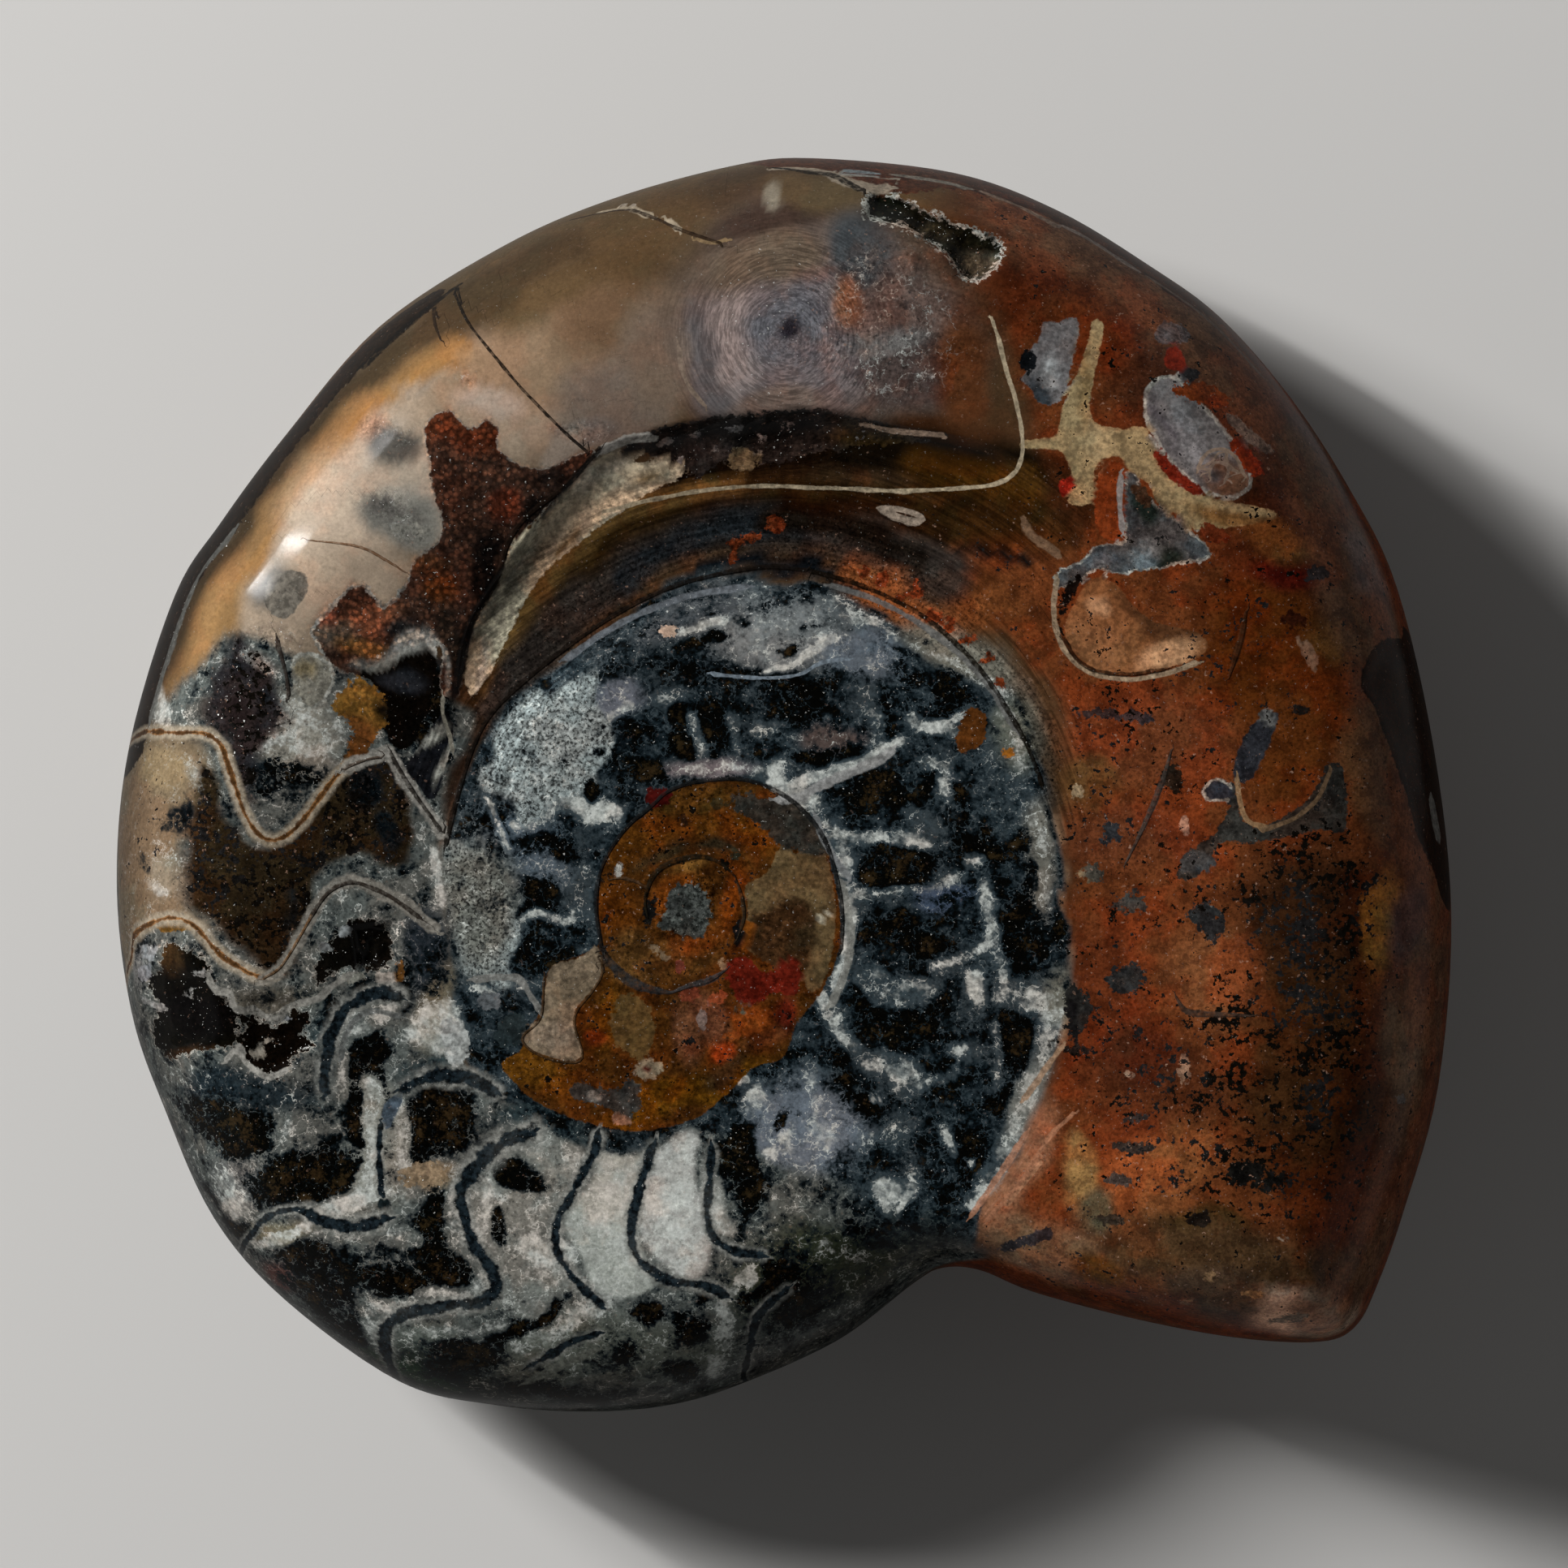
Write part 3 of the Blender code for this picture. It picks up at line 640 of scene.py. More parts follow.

# The wall round the navel
# Inside the crest the turn drops in a worn ledge of black crystal, then a wall with bands of cream, gold and
# dark brown, down to a groove of grey grit along the seam with the turn inside it.
# The darkest bands are partly the wall's own dark stone and partly painted shade where the wall faces away
# from the lamp and sinks into the groove.
WALL_BANDS = (
    ([(1235, 575), (1150, 560), (1050, 555), (950, 560), (850, 575)], 36, (15, 9, 4)),
    ([(1240, 620), (1120, 640), (1000, 628), (880, 628), (780, 650), (700, 700), (640, 790), (590, 880)], 30,
     (40, 26, 9)),
    ([(900, 606), (820, 618), (750, 650), (690, 700), (645, 770), (610, 840)], 17, (92, 68, 36)),
    ([(1180, 700), (1080, 672), (980, 660), (880, 668), (790, 700), (710, 750), (650, 815), (600, 880)], 26,
     (44, 38, 34)),
    ([(1040, 655), (940, 660), (850, 680), (780, 712)], 18, (30, 34, 37)),
    ([(1130, 575), (1200, 580), (1240, 590)], 24, (56, 34, 8)),
    ([(960, 635), (1080, 640), (1160, 655)], 14, (34, 18, 6)),
    ([(1064, 712), (1110, 728), (1170, 760)], 20, (120, 68, 36)),
    ([(1190, 665), (1225, 680), (1258, 697)], 7, (18, 14, 12)),
    ([(940, 655), (1000, 657), (1060, 664), (1140, 692)], 13, (22, 16, 11)),
    ([(590, 890), (570, 940), (556, 1010)], 16, (46, 36, 28)),
    ([(1150, 768), (1212, 815), (1254, 880), (1282, 950), (1296, 990)], 10, (66, 52, 40)),
    ([(1303, 1010), (1310, 1100), (1304, 1190), (1288, 1290), (1240, 1400)], 6, (120, 92, 70)))
for path, half_width, colour in WALL_BANDS:
    wash(band(path, half_width), ground=colour)
wash(band([(1200, 740), (1080, 690), (950, 672), (850, 685), (740, 735), (660, 810), (600, 880)], 30),
     grit=0.75)
wash(band([(1010, 700), (1120, 745), (1200, 800), (1256, 880), (1292, 980)], 18), grit=0.8)
wash(band([(1080, 700), (1150, 740), (1210, 800)], 24), glint=0.4)
NAVEL_WALL = [
    (1250, 640), (1130, 640), (1000, 630), (880, 640), (790, 680), (710, 730), (640, 800), (590, 890),
    (566, 980),
]
wash(band(NAVEL_WALL, 74, soft=0.4), scratch=1.0, mottle=0.8)
wash(band([(1150, 700), (1220, 780), (1270, 880), (1300, 1000)], 34, soft=0.5), scratch=1.0)
# The dark blue band at the top of the groove is partly dark crystal and partly painted shade in the groove.
wash(band([(870, 712), (950, 700), (1010, 704), (1064, 722)], 8), ground=(12, 17, 21))
RUSTY_CRUMBS = (
    (1085, 715, 12, 12), (1130, 725, 8, 12), (1150, 760, 14, 10), (1190, 790, 12, 8), (955, 648, 12, 12),
    (920, 665, 20, 6), (1064, 706, 7, 8), (1108, 738, 10, 6), (1170, 772, 7, 12), (1215, 812, 9, 8),
    (903, 690, 6, 8), (1232, 842, 6, 10))
for place_and_size in RUSTY_CRUMBS:
    lay(inlay, place_and_size, (92, 40, 19), ragged=9)
# Pale lumps on the black ledge: partly grey crystal and partly painted glints on its crystals.
LEDGE_CRYSTAL_GLINTS = (
    (820, 548, 12, 5), (858, 536, 9, 4), (906, 532, 12, 4), (938, 545, 6, 6), (968, 528, 10, 4),
    (880, 556, 7, 5), (1018, 532, 8, 4), (1060, 540, 9, 3), (840, 566, 6, 5))
for place_and_size in LEDGE_CRYSTAL_GLINTS:
    lay(inlay, (*place_and_size, -10), (112, 108, 106), ragged=8)
# The cream strip's colours are painted lighter than the stone to make up for the shade on the wall, which
# faces away from the lamp.
CREAM_STRIP = [
    (752, 556), (723, 583), (691, 621), (653, 653), (631, 675), (621, 707), (608, 736), (586, 774),
    (574, 829), (582, 858), (602, 836), (621, 800), (643, 752), (675, 704), (723, 664), (771, 629),
    (806, 606), (834, 592), (853, 577), (836, 568), (790, 572), (768, 560),
]
lay(filling, CREAM_STRIP, (170, 160, 138), ragged=5)
tint(filling["tone"], (
    (735, 590, 34, 12, -40, (196, 188, 170)), (680, 650, 40, 12, -48, (168, 159, 138)),
    (640, 700, 12, 30, 25, (142, 134, 116)), (592, 820, 8, 40, 15, (162, 156, 142)),
    (700, 675, 30, 8, -45, (110, 90, 60)), (810, 588, 30, 8, -15, (112, 96, 70))))
BLACK_LEDGE = [
    (746, 557), (800, 537), (880, 518), (944, 512), (1007, 509), (1065, 519), (1120, 534), (1165, 540),
    (1120, 548), (1060, 552), (1000, 562), (940, 575), (880, 574), (862, 594), (846, 580), (800, 562),
]
cover = lay(filling, BLACK_LEDGE, (34, 30, 28), ragged=9)
tint(filling["tone"], (
    (1060, 548, 60, 22, (40, 29, 13)), (940, 540, 60, 14, (16, 13, 11)), (870, 540, 30, 10, (54, 48, 46))))
wash(cover, bare=0.6, glint=0.9, mottle=0.9)
lay(inlay, [(895, 565), (915, 555), (940, 566), (930, 580), (905, 582)], (84, 74, 56), ragged=6)
LEDGE_DEPTH = 0.35
LEDGE_EVENNESS = 0.6
relief -= LEDGE_DEPTH * cover * on_face * (LEDGE_EVENNESS + (1 - LEDGE_EVENNESS) * lumps(size=14, seed=11))

# The inner turn
# The older turn inside the coil, cut through its crowded chambers: pockets of brown and black crystal in a
# slate-blue net, with white walls between them, and two patches of pale grit at its upper left.


def sink(pockets):
    """Sets the level in soft spots, each a place, half sizes, perhaps a turn, and a level."""
    for *place_and_size, value in pockets:
        wash(spot(*place_and_size, soft=0.9), level=value)


def raise_along(walls):
    """Sets the level in soft bands, each a path, a half width and a level."""
    for path, half_width, value in walls:
        wash(band(path, half_width, soft=1.1), level=value)


cover = area(COIL_SEAM, 6)
wash(cover, ground=(47, 55, 59), mottle=0.25, level=0.38, restless=0.7, glint=0.45)
# The pale grey patch at the top of the turn, round (965, 775), is partly pale crystal and partly painted
# reflection where the turn's dome faces the lamp.
tint(ground, (
    (965, 775, 90, 48, (104, 106, 106)), (1070, 800, 50, 34, (84, 92, 100)),
    (870, 765, 70, 24, -18, (60, 62, 64)), (780, 857, 34, 26, 10, (84, 88, 96)),
    (1030, 915, 28, 22, (74, 62, 58)), (1160, 1100, 40, 20, -20, (58, 68, 84)),
    (1285, 1060, 18, 70, (92, 89, 82)), (1292, 1220, 20, 40, 10, (104, 100, 90)),
    (1255, 1350, 20, 60, 20, (96, 98, 94)), (1000, 1400, 70, 60, (92, 98, 106)),
    (640, 1040, 60, 40, 10, (70, 80, 88)), (880, 948, 60, 12, (100, 92, 94)),
    (1180, 800, 60, 30, 40, (100, 96, 86)), (1240, 900, 24, 50, -20, (84, 86, 78))))
# Some of the small white dots here, at (1153, 805), (1112, 893), (1132, 900) and (1088, 1352), are painted
# glints on crystal faces.
sink((
    (965, 775, 96, 46, 0.64), (900, 792, 22, 8, 0.2), (930, 760, 14, 6, 0.2), (985, 792, 16, 7, 0.24),
    (1012, 762, 14, 6, 0.24), (866, 802, 24, 8, 0.2), (1050, 822, 20, 10, 0.2), (1070, 800, 42, 34, 0.58),
    (870, 765, 70, 26, -18, 0.5), (780, 857, 34, 24, 10, 0.62), (1080, 755, 24, 9, 0.34),
    (960, 740, 26, 7, 0.4), (925, 852, 92, 15, 0.3), (888, 902, 24, 34, 0.16), (925, 905, 14, 30, 0.34),
    (956, 898, 16, 10, 0.8), (1000, 872, 22, 26, 20, 0.22), (1025, 912, 28, 12, 0.56),
    (1028, 938, 30, 10, 0.08), (1128, 832, 34, 13, 30, 0.2), (1152, 864, 20, 32, 10, 0.14),
    (1132, 900, 20, 9, -10, 1.1), (1112, 893, 5, 9, 0.95), (1153, 805, 5, 5, 1.0),
    (1075, 990, 44, 25, -8, 0.05), (1135, 972, 22, 26, 0.3), (1148, 944, 16, 10, 0.82),
    (1175, 960, 11, 28, 0.8), (1200, 975, 7, 16, -30, 0.1), (1135, 1018, 24, 12, 0.7),
    (1105, 1062, 42, 15, -8, 0.15), (1095, 1081, 34, 10, 0.03), (1240, 1035, 34, 32, 20, 0.12),
    (1188, 1030, 12, 26, 20, 0.22), (1205, 1045, 16, 8, 0.85), (1214, 1102, 12, 24, 1.1),
    (1125, 1117, 76, 12, -4, 0.4), (1100, 1152, 42, 24, 10, 0.14), (1150, 1168, 26, 18, -30, 0.03),
    (1255, 1145, 27, 56, 0.16), (1303, 1140, 14, 20, 0.3), (1268, 1218, 34, 20, -10, 0.86),
    (1238, 1293, 24, 50, 4, 0.16), (1202, 1226, 12, 19, 5, 1.1), (1171, 1237, 5, 5, 1.0),
    (1112, 1258, 46, 30, 20, 0.12), (1070, 1228, 16, 20, -20, 0.14), (1160, 1232, 14, 22, 20, 0.16),
    (1172, 1288, 13, 9, -20, 1.05), (1042, 1312, 10, 9, 0.12), (1051, 1336, 9, 11, 0.12),
    (1066, 1360, 30, 14, 6, 0.06), (1088, 1352, 7, 3, 1.2), (1156, 1322, 34, 18, 0.18),
    (1210, 1360, 18, 22, 0.26), (1186, 1412, 20, 36, 10, 0.1), (1162, 1402, 7, 20, 0.9),
    (1188, 1427, 5, 5, 0.9), (1120, 1385, 28, 26, 0.44), (1000, 1400, 66, 56, 0.66),
    (1025, 1400, 30, 12, 50, 0.9), (985, 1410, 9, 7, 1.05), (968, 1437, 9, 8, 1.0), (980, 1388, 8, 14, 0.15),
    (918, 1342, 9, 6, 1.0), (935, 1368, 14, 20, 30, 0.88), (1100, 1458, 12, 20, 1.0),
    (1155, 1455, 24, 30, 0.3), (640, 1045, 46, 24, 10, 0.42), (690, 1030, 22, 10, 20, 0.16),
    (708, 1040, 14, 14, 0.16), (668, 1090, 20, 22, -35, 0.04), (648, 1118, 9, 22, 35, 0.04),
    (683, 1155, 26, 14, 0.14), (736, 986, 9, 18, -30, 0.03), (795, 945, 34, 18, 10, 0.16),
    (845, 905, 12, 30, 0.04), (800, 915, 28, 26, 0.28), (870, 915, 14, 30, 0.16), (840, 862, 22, 12, 0.7),
    (725, 955, 6, 3, 0.2), (850, 1500, 100, 40, 0.6)))
# The two thin white lines at the top of the turn, from (850, 786) and from (962, 824), are painted glints on
# crystal edges.
raise_along((
    ([(840, 834), (905, 836), (960, 832), (1000, 840), (1030, 850)], 7, 0.22),
    ([(1076, 862), (1082, 895), (1090, 930)], 6, 0.24), ([(1215, 900), (1245, 960), (1255, 1010)], 22, 0.5),
    ([(1060, 1205), (1100, 1228), (1140, 1236), (1185, 1200)], 8, 0.62),
    ([(1125, 1336), (1160, 1320), (1188, 1286)], 8, 0.64),
    ([(1000, 1325), (1020, 1372), (1060, 1400), (1110, 1392)], 10, 0.68),
    ([(1215, 1080), (1216, 1130), (1220, 1160), (1192, 1190), (1160, 1206)], 7, 0.9),
    ([(1220, 1160), (1228, 1195), (1234, 1222)], 7, 0.78),
    ([(1085, 1200), (1110, 1218), (1142, 1222)], 9, 0.76),
    ([(835, 948), (880, 946), (930, 948), (965, 962)], 10, 0.78),
    ([(1060, 850), (1066, 885), (1072, 920)], 8, 0.68),
    ([(1000, 1222), (1028, 1252), (1055, 1278), (1080, 1305)], 11, 0.8),
    ([(1086, 1312), (1110, 1310), (1128, 1330)], 13, 0.8),
    ([(1015, 1030), (1060, 1046), (1100, 1042), (1145, 1034)], 7, 0.82),
    ([(1050, 1102), (1100, 1098), (1150, 1086), (1180, 1062)], 7, 0.74),
    ([(1216, 1262), (1211, 1300), (1216, 1338)], 4, 0.7), ([(1175, 880), (1150, 895), (1170, 905)], 5, 0.85),
    ([(603, 985), (618, 1012), (628, 1040)], 5, 0.9),
    ([(640, 1008), (690, 1000), (720, 1008), (760, 1010)], 9, 0.84),
    ([(640, 1060), (665, 1048), (690, 1052)], 6, 0.6),
    ([(650, 1126), (668, 1112), (700, 1114), (715, 1100)], 7, 0.86),
    ([(720, 1000), (740, 1016), (765, 1008)], 9, 0.95), ([(700, 1062), (728, 1070), (730, 1100)], 16, 0.62),
    ([(640, 1180), (660, 1195), (700, 1190)], 8, 0.62), ([(862, 900), (866, 935)], 8, 0.74),
    ([(918, 890), (922, 935)], 6, 0.66), ([(755, 884), (780, 880), (800, 872)], 6, 0.9),
    ([(750, 840), (754, 868), (762, 886)], 5, 0.42), ([(850, 786), (880, 780), (910, 774)], 4, 1.15),
    ([(962, 824), (1000, 810), (1038, 776)], 5, 1.15),
    ([(1040, 736), (1100, 766), (1156, 800), (1200, 840), (1230, 886), (1256, 945)], 9, 0.8),
    ([(1276, 992), (1288, 1040), (1294, 1112)], 11, 0.72),
    ([(1286, 1240), (1276, 1290), (1262, 1326), (1246, 1370), (1226, 1420), (1204, 1460)], 15, 0.82),
    ([(880, 1455), (884, 1490), (905, 1515), (935, 1524)], 11, 1.15),
    ([(936, 1436), (950, 1455), (962, 1492)], 10, 1.05),
    ([(1120, 1436), (1118, 1466), (1106, 1496)], 5, 0.92), ([(1090, 1502), (1120, 1498)], 6, 0.85),
    ([(1200, 1462), (1182, 1496)], 7, 1.0),
    ([(968, 968), (985, 982), (1020, 966), (1055, 952), (1080, 934), (1100, 924)], 9, 0.95),
    ([(975, 955), (985, 985), (1000, 998)], 13, 1.05),
    ([(1000, 1004), (1014, 1030), (1034, 1060), (1045, 1090)], 11, 0.8),
    ([(1036, 1110), (1045, 1130), (1048, 1155), (1044, 1185), (1030, 1215)], 9, 1.05)))
GRIT_PATCHES = (
    [(622, 880), (645, 857), (667, 838), (683, 849), (717, 829), (756, 821), (754, 857), (768, 896),
     (768, 930), (754, 952), (742, 960), (738, 985), (711, 992), (672, 997), (650, 1011), (639, 981),
     (600, 970), (592, 950), (616, 925), (612, 900)],
    [(552, 1045), (580, 1040), (600, 1050), (610, 1070), (635, 1105), (655, 1140), (640, 1165), (650, 1200),
     (625, 1200), (600, 1188), (580, 1200), (562, 1190), (550, 1150), (548, 1095)])
for outline in GRIT_PATCHES:
    cover = area(outline, 10)
    wash(cover, grit=1.0, level=0.58, restless=0.66, ground=(124, 130, 129))
wash(spot(590, 1110, 50, 80), ground=(94, 94, 88))
sink(((736, 986, 9, 18, -30, 0.03), (740, 943, 12, 4, 0.2), (700, 950, 14, 6, 0.4), (620, 955, 14, 10, 0.44)))
INNER_TURN_SPOTS = (
    (1196, 900, 16, 32, 10, (74, 40, 14)), (1240, 927, 7, 7, (132, 80, 26)), (812, 982, 17, 13, (56, 12, 10)),
    (563, 1283, 19, 27, -20, (140, 140, 137)), (825, 778, 10, 9, (150, 128, 112)),
    (605, 1232, 14, 14, (78, 80, 82)), (632, 1268, 20, 20, (34, 42, 44)))
for *place_and_size, colour in INNER_TURN_SPOTS:
    lay(inlay, place_and_size, colour, ragged=8)

# The first turns
# The small first turns at the middle filled with orange-brown mud, with cream patches of calcite at both
# sides, a red iron stain, and a dark ring round the grey first chamber.
MIDDLE_MUD = [
    (619, 1311), (663, 1355), (717, 1379), (782, 1392), (852, 1378), (898, 1344), (930, 1312), (966, 1300),
    (980, 1262), (1010, 1222), (1034, 1170), (1034, 1116), (1020, 1056), (1004, 1019), (971, 986), (923, 964),
    (869, 964), (825, 975), (803, 997), (771, 1024), (744, 1067), (736, 1116), (738, 1165), (679, 1192),
    (668, 1240), (652, 1272), (640, 1296),
]
cover = lay(filling, MIDDLE_MUD, (66, 37, 11), ragged=4)
wash(cover, mottle=1.0, glint=0.3, specks=0.34)
tint(filling["tone"], (
    (850, 985, 80, 20, -5, (62, 44, 16)), (860, 1018, 80, 16, (80, 46, 12)),
    (785, 1040, 26, 30, 40, (78, 44, 11)), (815, 1052, 26, 10, -20, (50, 38, 22)),
    (872, 1050, 26, 9, (40, 32, 20)), (930, 1035, 26, 20, 30, (88, 50, 12)), (768, 1110, 26, 40, (82, 42, 9)),
    (780, 1170, 40, 30, 30, (78, 52, 24)), (850, 1175, 46, 24, (84, 52, 22)),
    (892, 1110, 14, 40, (112, 52, 12)), (835, 1076, 22, 7, -20, (104, 70, 30)),
    (820, 1110, 14, 22, (96, 48, 12)), (870, 1160, 22, 14, (100, 50, 15)),
    (850, 1350, 110, 22, -12, (84, 52, 9)), (670, 1325, 50, 26, 25, (86, 52, 12)),
    (745, 1250, 16, 56, 5, (82, 50, 11)), (736, 1284, 12, 14, (96, 42, 14)),
    (880, 1250, 26, 34, (96, 56, 36)), (928, 1255, 26, 20, (106, 54, 18)),
    (966, 1255, 12, 40, 5, (66, 22, 12)), (890, 1296, 18, 12, (112, 46, 16)),
    (845, 1270, 18, 40, (88, 54, 34)), (940, 1290, 26, 12, -10, (70, 38, 18)),
    (890, 1325, 30, 14, -30, (54, 38, 20))))
FIRST_TURN_MINERALS = (
    ([(735, 1163), (743, 1182), (741, 1202), (728, 1222), (713, 1238), (709, 1256), (715, 1282), (719, 1300),
      (700, 1306), (680, 1300), (656, 1291), (646, 1277), (656, 1262), (668, 1251), (672, 1234), (674, 1210),
      (678, 1195), (690, 1185), (712, 1180), (725, 1173)], (108, 93, 76), 2),
    ([(918, 1091), (940, 1078), (952, 1063), (956, 1048), (968, 1042), (982, 1050), (1000, 1055),
      (1014, 1054), (1023, 1072), (1028, 1110), (1028, 1150), (1022, 1186), (1010, 1214), (998, 1223),
      (991, 1206), (985, 1185), (960, 1186), (930, 1176), (918, 1150), (922, 1120)], (84, 67, 44), 3),
    ([(928, 1128), (950, 1122), (968, 1108), (990, 1106), (1004, 1130), (1003, 1165), (990, 1190),
      (962, 1190), (940, 1182), (925, 1166)], (50, 37, 22), 6),
    ([(914, 1140), (924, 1132), (931, 1142), (928, 1160), (920, 1174), (912, 1164)], (104, 56, 16), 4),
    ([(893, 1190), (905, 1178), (925, 1180), (936, 1195), (955, 1194), (966, 1181), (983, 1179), (987, 1202),
      (980, 1226), (956, 1222), (930, 1236), (911, 1232), (898, 1211)], (78, 22, 13), 5),
    ([(905, 974), (940, 982), (975, 985), (1004, 1014), (1019, 1048), (988, 1050), (955, 1038), (932, 1012),
      (908, 1000)], (42, 41, 37), 9),
    ([(766, 1225), (790, 1227), (803, 1245), (807, 1270), (800, 1295), (790, 1308), (774, 1296), (758, 1285),
      (752, 1262), (757, 1240)], (76, 58, 32), 8),
    ([(703, 1341), (712, 1331), (740, 1338), (754, 1344), (775, 1330), (788, 1334), (793, 1355), (786, 1370),
      (776, 1386), (760, 1379), (748, 1362), (722, 1356), (708, 1351)], (46, 45, 43), 8),
    ([(825, 1100), (840, 1088), (860, 1089), (873, 1102), (877, 1125), (870, 1149), (850, 1154), (825, 1149),
      (812, 1136), (822, 1118)], (58, 60, 57), 7),
    ((801, 1315, 17, 12), (108, 97, 80), 6), ((799, 1316, 4, 4), (62, 20, 14), 3),
    ((735, 1349, 9, 5), (112, 108, 102), 6), ((766, 1378, 13, 6), (118, 88, 70), 7),
    ((802, 1122, 8, 20, 10), (16, 15, 14), 6), ((911, 1147, 6, 16, 12), (20, 19, 19), 4),
    ((764, 1071, 5, 8), (142, 138, 132), 4), ((914, 1244, 8, 6), (66, 68, 58), 6),
    ((864, 1256, 5, 16), (112, 92, 84), 7), ((852, 1224, 14, 6), (110, 52, 34), 7),
    ((884, 1228, 12, 9), (118, 56, 32), 7), ((930, 1262, 14, 7), (116, 60, 22), 6),
    ((902, 1276, 9, 6), (120, 60, 24), 7), ((1015, 1129, 5, 8), (150, 140, 122), 3),
    ((842, 1010, 6, 7), (34, 22, 12), 6), ((885, 988, 12, 6), (44, 38, 22), 7),
    ((905, 1052, 12, 6, 30), (36, 34, 24), 7), ((812, 1172, 14, 4, 40), (112, 92, 70), 6),
    ((838, 1190, 5, 12), (104, 52, 40), 6), ((890, 1186, 5, 7), (124, 100, 76), 5))
for outline, colour, ragged in FIRST_TURN_MINERALS:
    cover = lay(inlay, outline, colour, 1.5 * ragged)
    wash(cover, mottle=0.9 if max(colour) < 64 else 0.36, specks=0.0)
wash(spot(935, 1210, 40, 24), mottle=0.6)
wash(spot(745, 1355, 44, 26), mottle=0.8)
wash(spot(846, 1120, 30, 34), grit=0.8)
tint(inlay["tone"], ((712, 1205, 18, 20, (88, 75, 60)), (695, 1280, 20, 20, (120, 104, 88))))

# The gas chambers
# Lower left and bottom the last turn is cut through its gas chambers, from milky white calcite by the navel
# to brown and black crystal, with open pits whose white lining shows as a toothed edge.
CHAMBERED = [
    (80, 900), (180, 900), (290, 800), (420, 830), (560, 860), (575, 900), (548, 1000), (545, 1200),
    (575, 1290), (620, 1350), (720, 1400), (880, 1405), (960, 1440), (1040, 1500), (1180, 1540), (1190, 1600),
    (1050, 1800), (700, 1860), (300, 1760), (80, 1400),
]
cover = area(CHAMBERED, 16)
wash(cover, ground=(78, 81, 78), mottle=0.35, level=0.52, restless=0.8, glint=0.4)
CREAM_CHAMBER = [
    (80, 880), (180, 880), (265, 920), (262, 1000), (225, 1040), (222, 1110), (260, 1150), (200, 1150),
    (120, 1200), (80, 1100),
]
cover = area(CREAM_CHAMBER, 24)
wash(cover, ground=(104, 88, 69), level=0.62, restless=0.38, mottle=0.36, specks=0.2)
# The nearly black cloud along the lower rim at (540, 1700) is painted shade where the shoulder turns away
# from the light.
tint(ground, (
    (205, 940, 40, 24, (124, 104, 78)), (245, 952, 14, 10, (122, 112, 98)),
    (200, 1090, 18, 30, (116, 107, 92)), (385, 915, 46, 44, (126, 120, 110)),
    (290, 1330, 110, 20, 5, (30, 38, 42)), (404, 1290, 14, 60, 4, (44, 54, 56)),
    (465, 1400, 34, 80, 2, (120, 118, 110)), (350, 1500, 50, 12, 5, (110, 102, 84)),
    (525, 1440, 26, 20, (122, 106, 84)), (690, 1655, 80, 36, -10, (88, 90, 82)),
    (830, 1660, 80, 34, -8, (86, 88, 80)), (510, 1655, 44, 34, (88, 92, 86)),
    (340, 1570, 30, 30, 30, (84, 52, 46)), (680, 1385, 80, 18, (44, 54, 56)),
    (560, 1335, 70, 14, 8, (44, 54, 56)), (1020, 1560, 120, 60, -20, (46, 50, 37)),
    (860, 1500, 16, 30, (176, 172, 168)), (540, 1700, 130, 40, 18, (20, 28, 22)),
    (285, 1440, 30, 40, -10, (84, 84, 82)), (500, 1690, 66, 18, 22, (34, 58, 38)),
    (520, 1190, 26, 60, (40, 46, 52)), (1010, 1480, 60, 30, (80, 82, 78)),
    (175, 1195, 20, 34, (110, 112, 112)), (330, 1225, 60, 18, (84, 82, 74)),
    (540, 1250, 20, 60, (90, 84, 70)), (200, 1310, 30, 30, (84, 84, 80))))
GOLDEN_MASS = [
    (262, 945), (285, 985), (300, 1020), (325, 1048), (345, 1048), (370, 1035), (395, 1005), (420, 965),
    (450, 946), (476, 944), (495, 980), (512, 1015), (500, 1060), (480, 1078), (440, 1064), (412, 1078),
    (392, 1098), (372, 1130), (352, 1170), (335, 1190), (310, 1182), (285, 1160), (262, 1138), (236, 1122),
    (222, 1090), (238, 1055), (228, 1020), (236, 985), (248, 962),
]
PURPLE_MASS = [
    (302, 806), (318, 800), (330, 822), (352, 832), (350, 868), (362, 900), (348, 938), (350, 962),
    (330, 1000), (308, 985), (295, 950), (290, 920), (270, 906), (262, 882), (278, 860), (272, 842),
    (288, 825),
]
for mass, soft, colour in ((GOLDEN_MASS, 12, (42, 32, 19)), (PURPLE_MASS, 18, (38, 36, 38))):
    cover = area(mass, soft)
    wash(cover, ground=colour, level=0.6, restless=0.2, mottle=1.0, specks=0.9, grit=0.4)
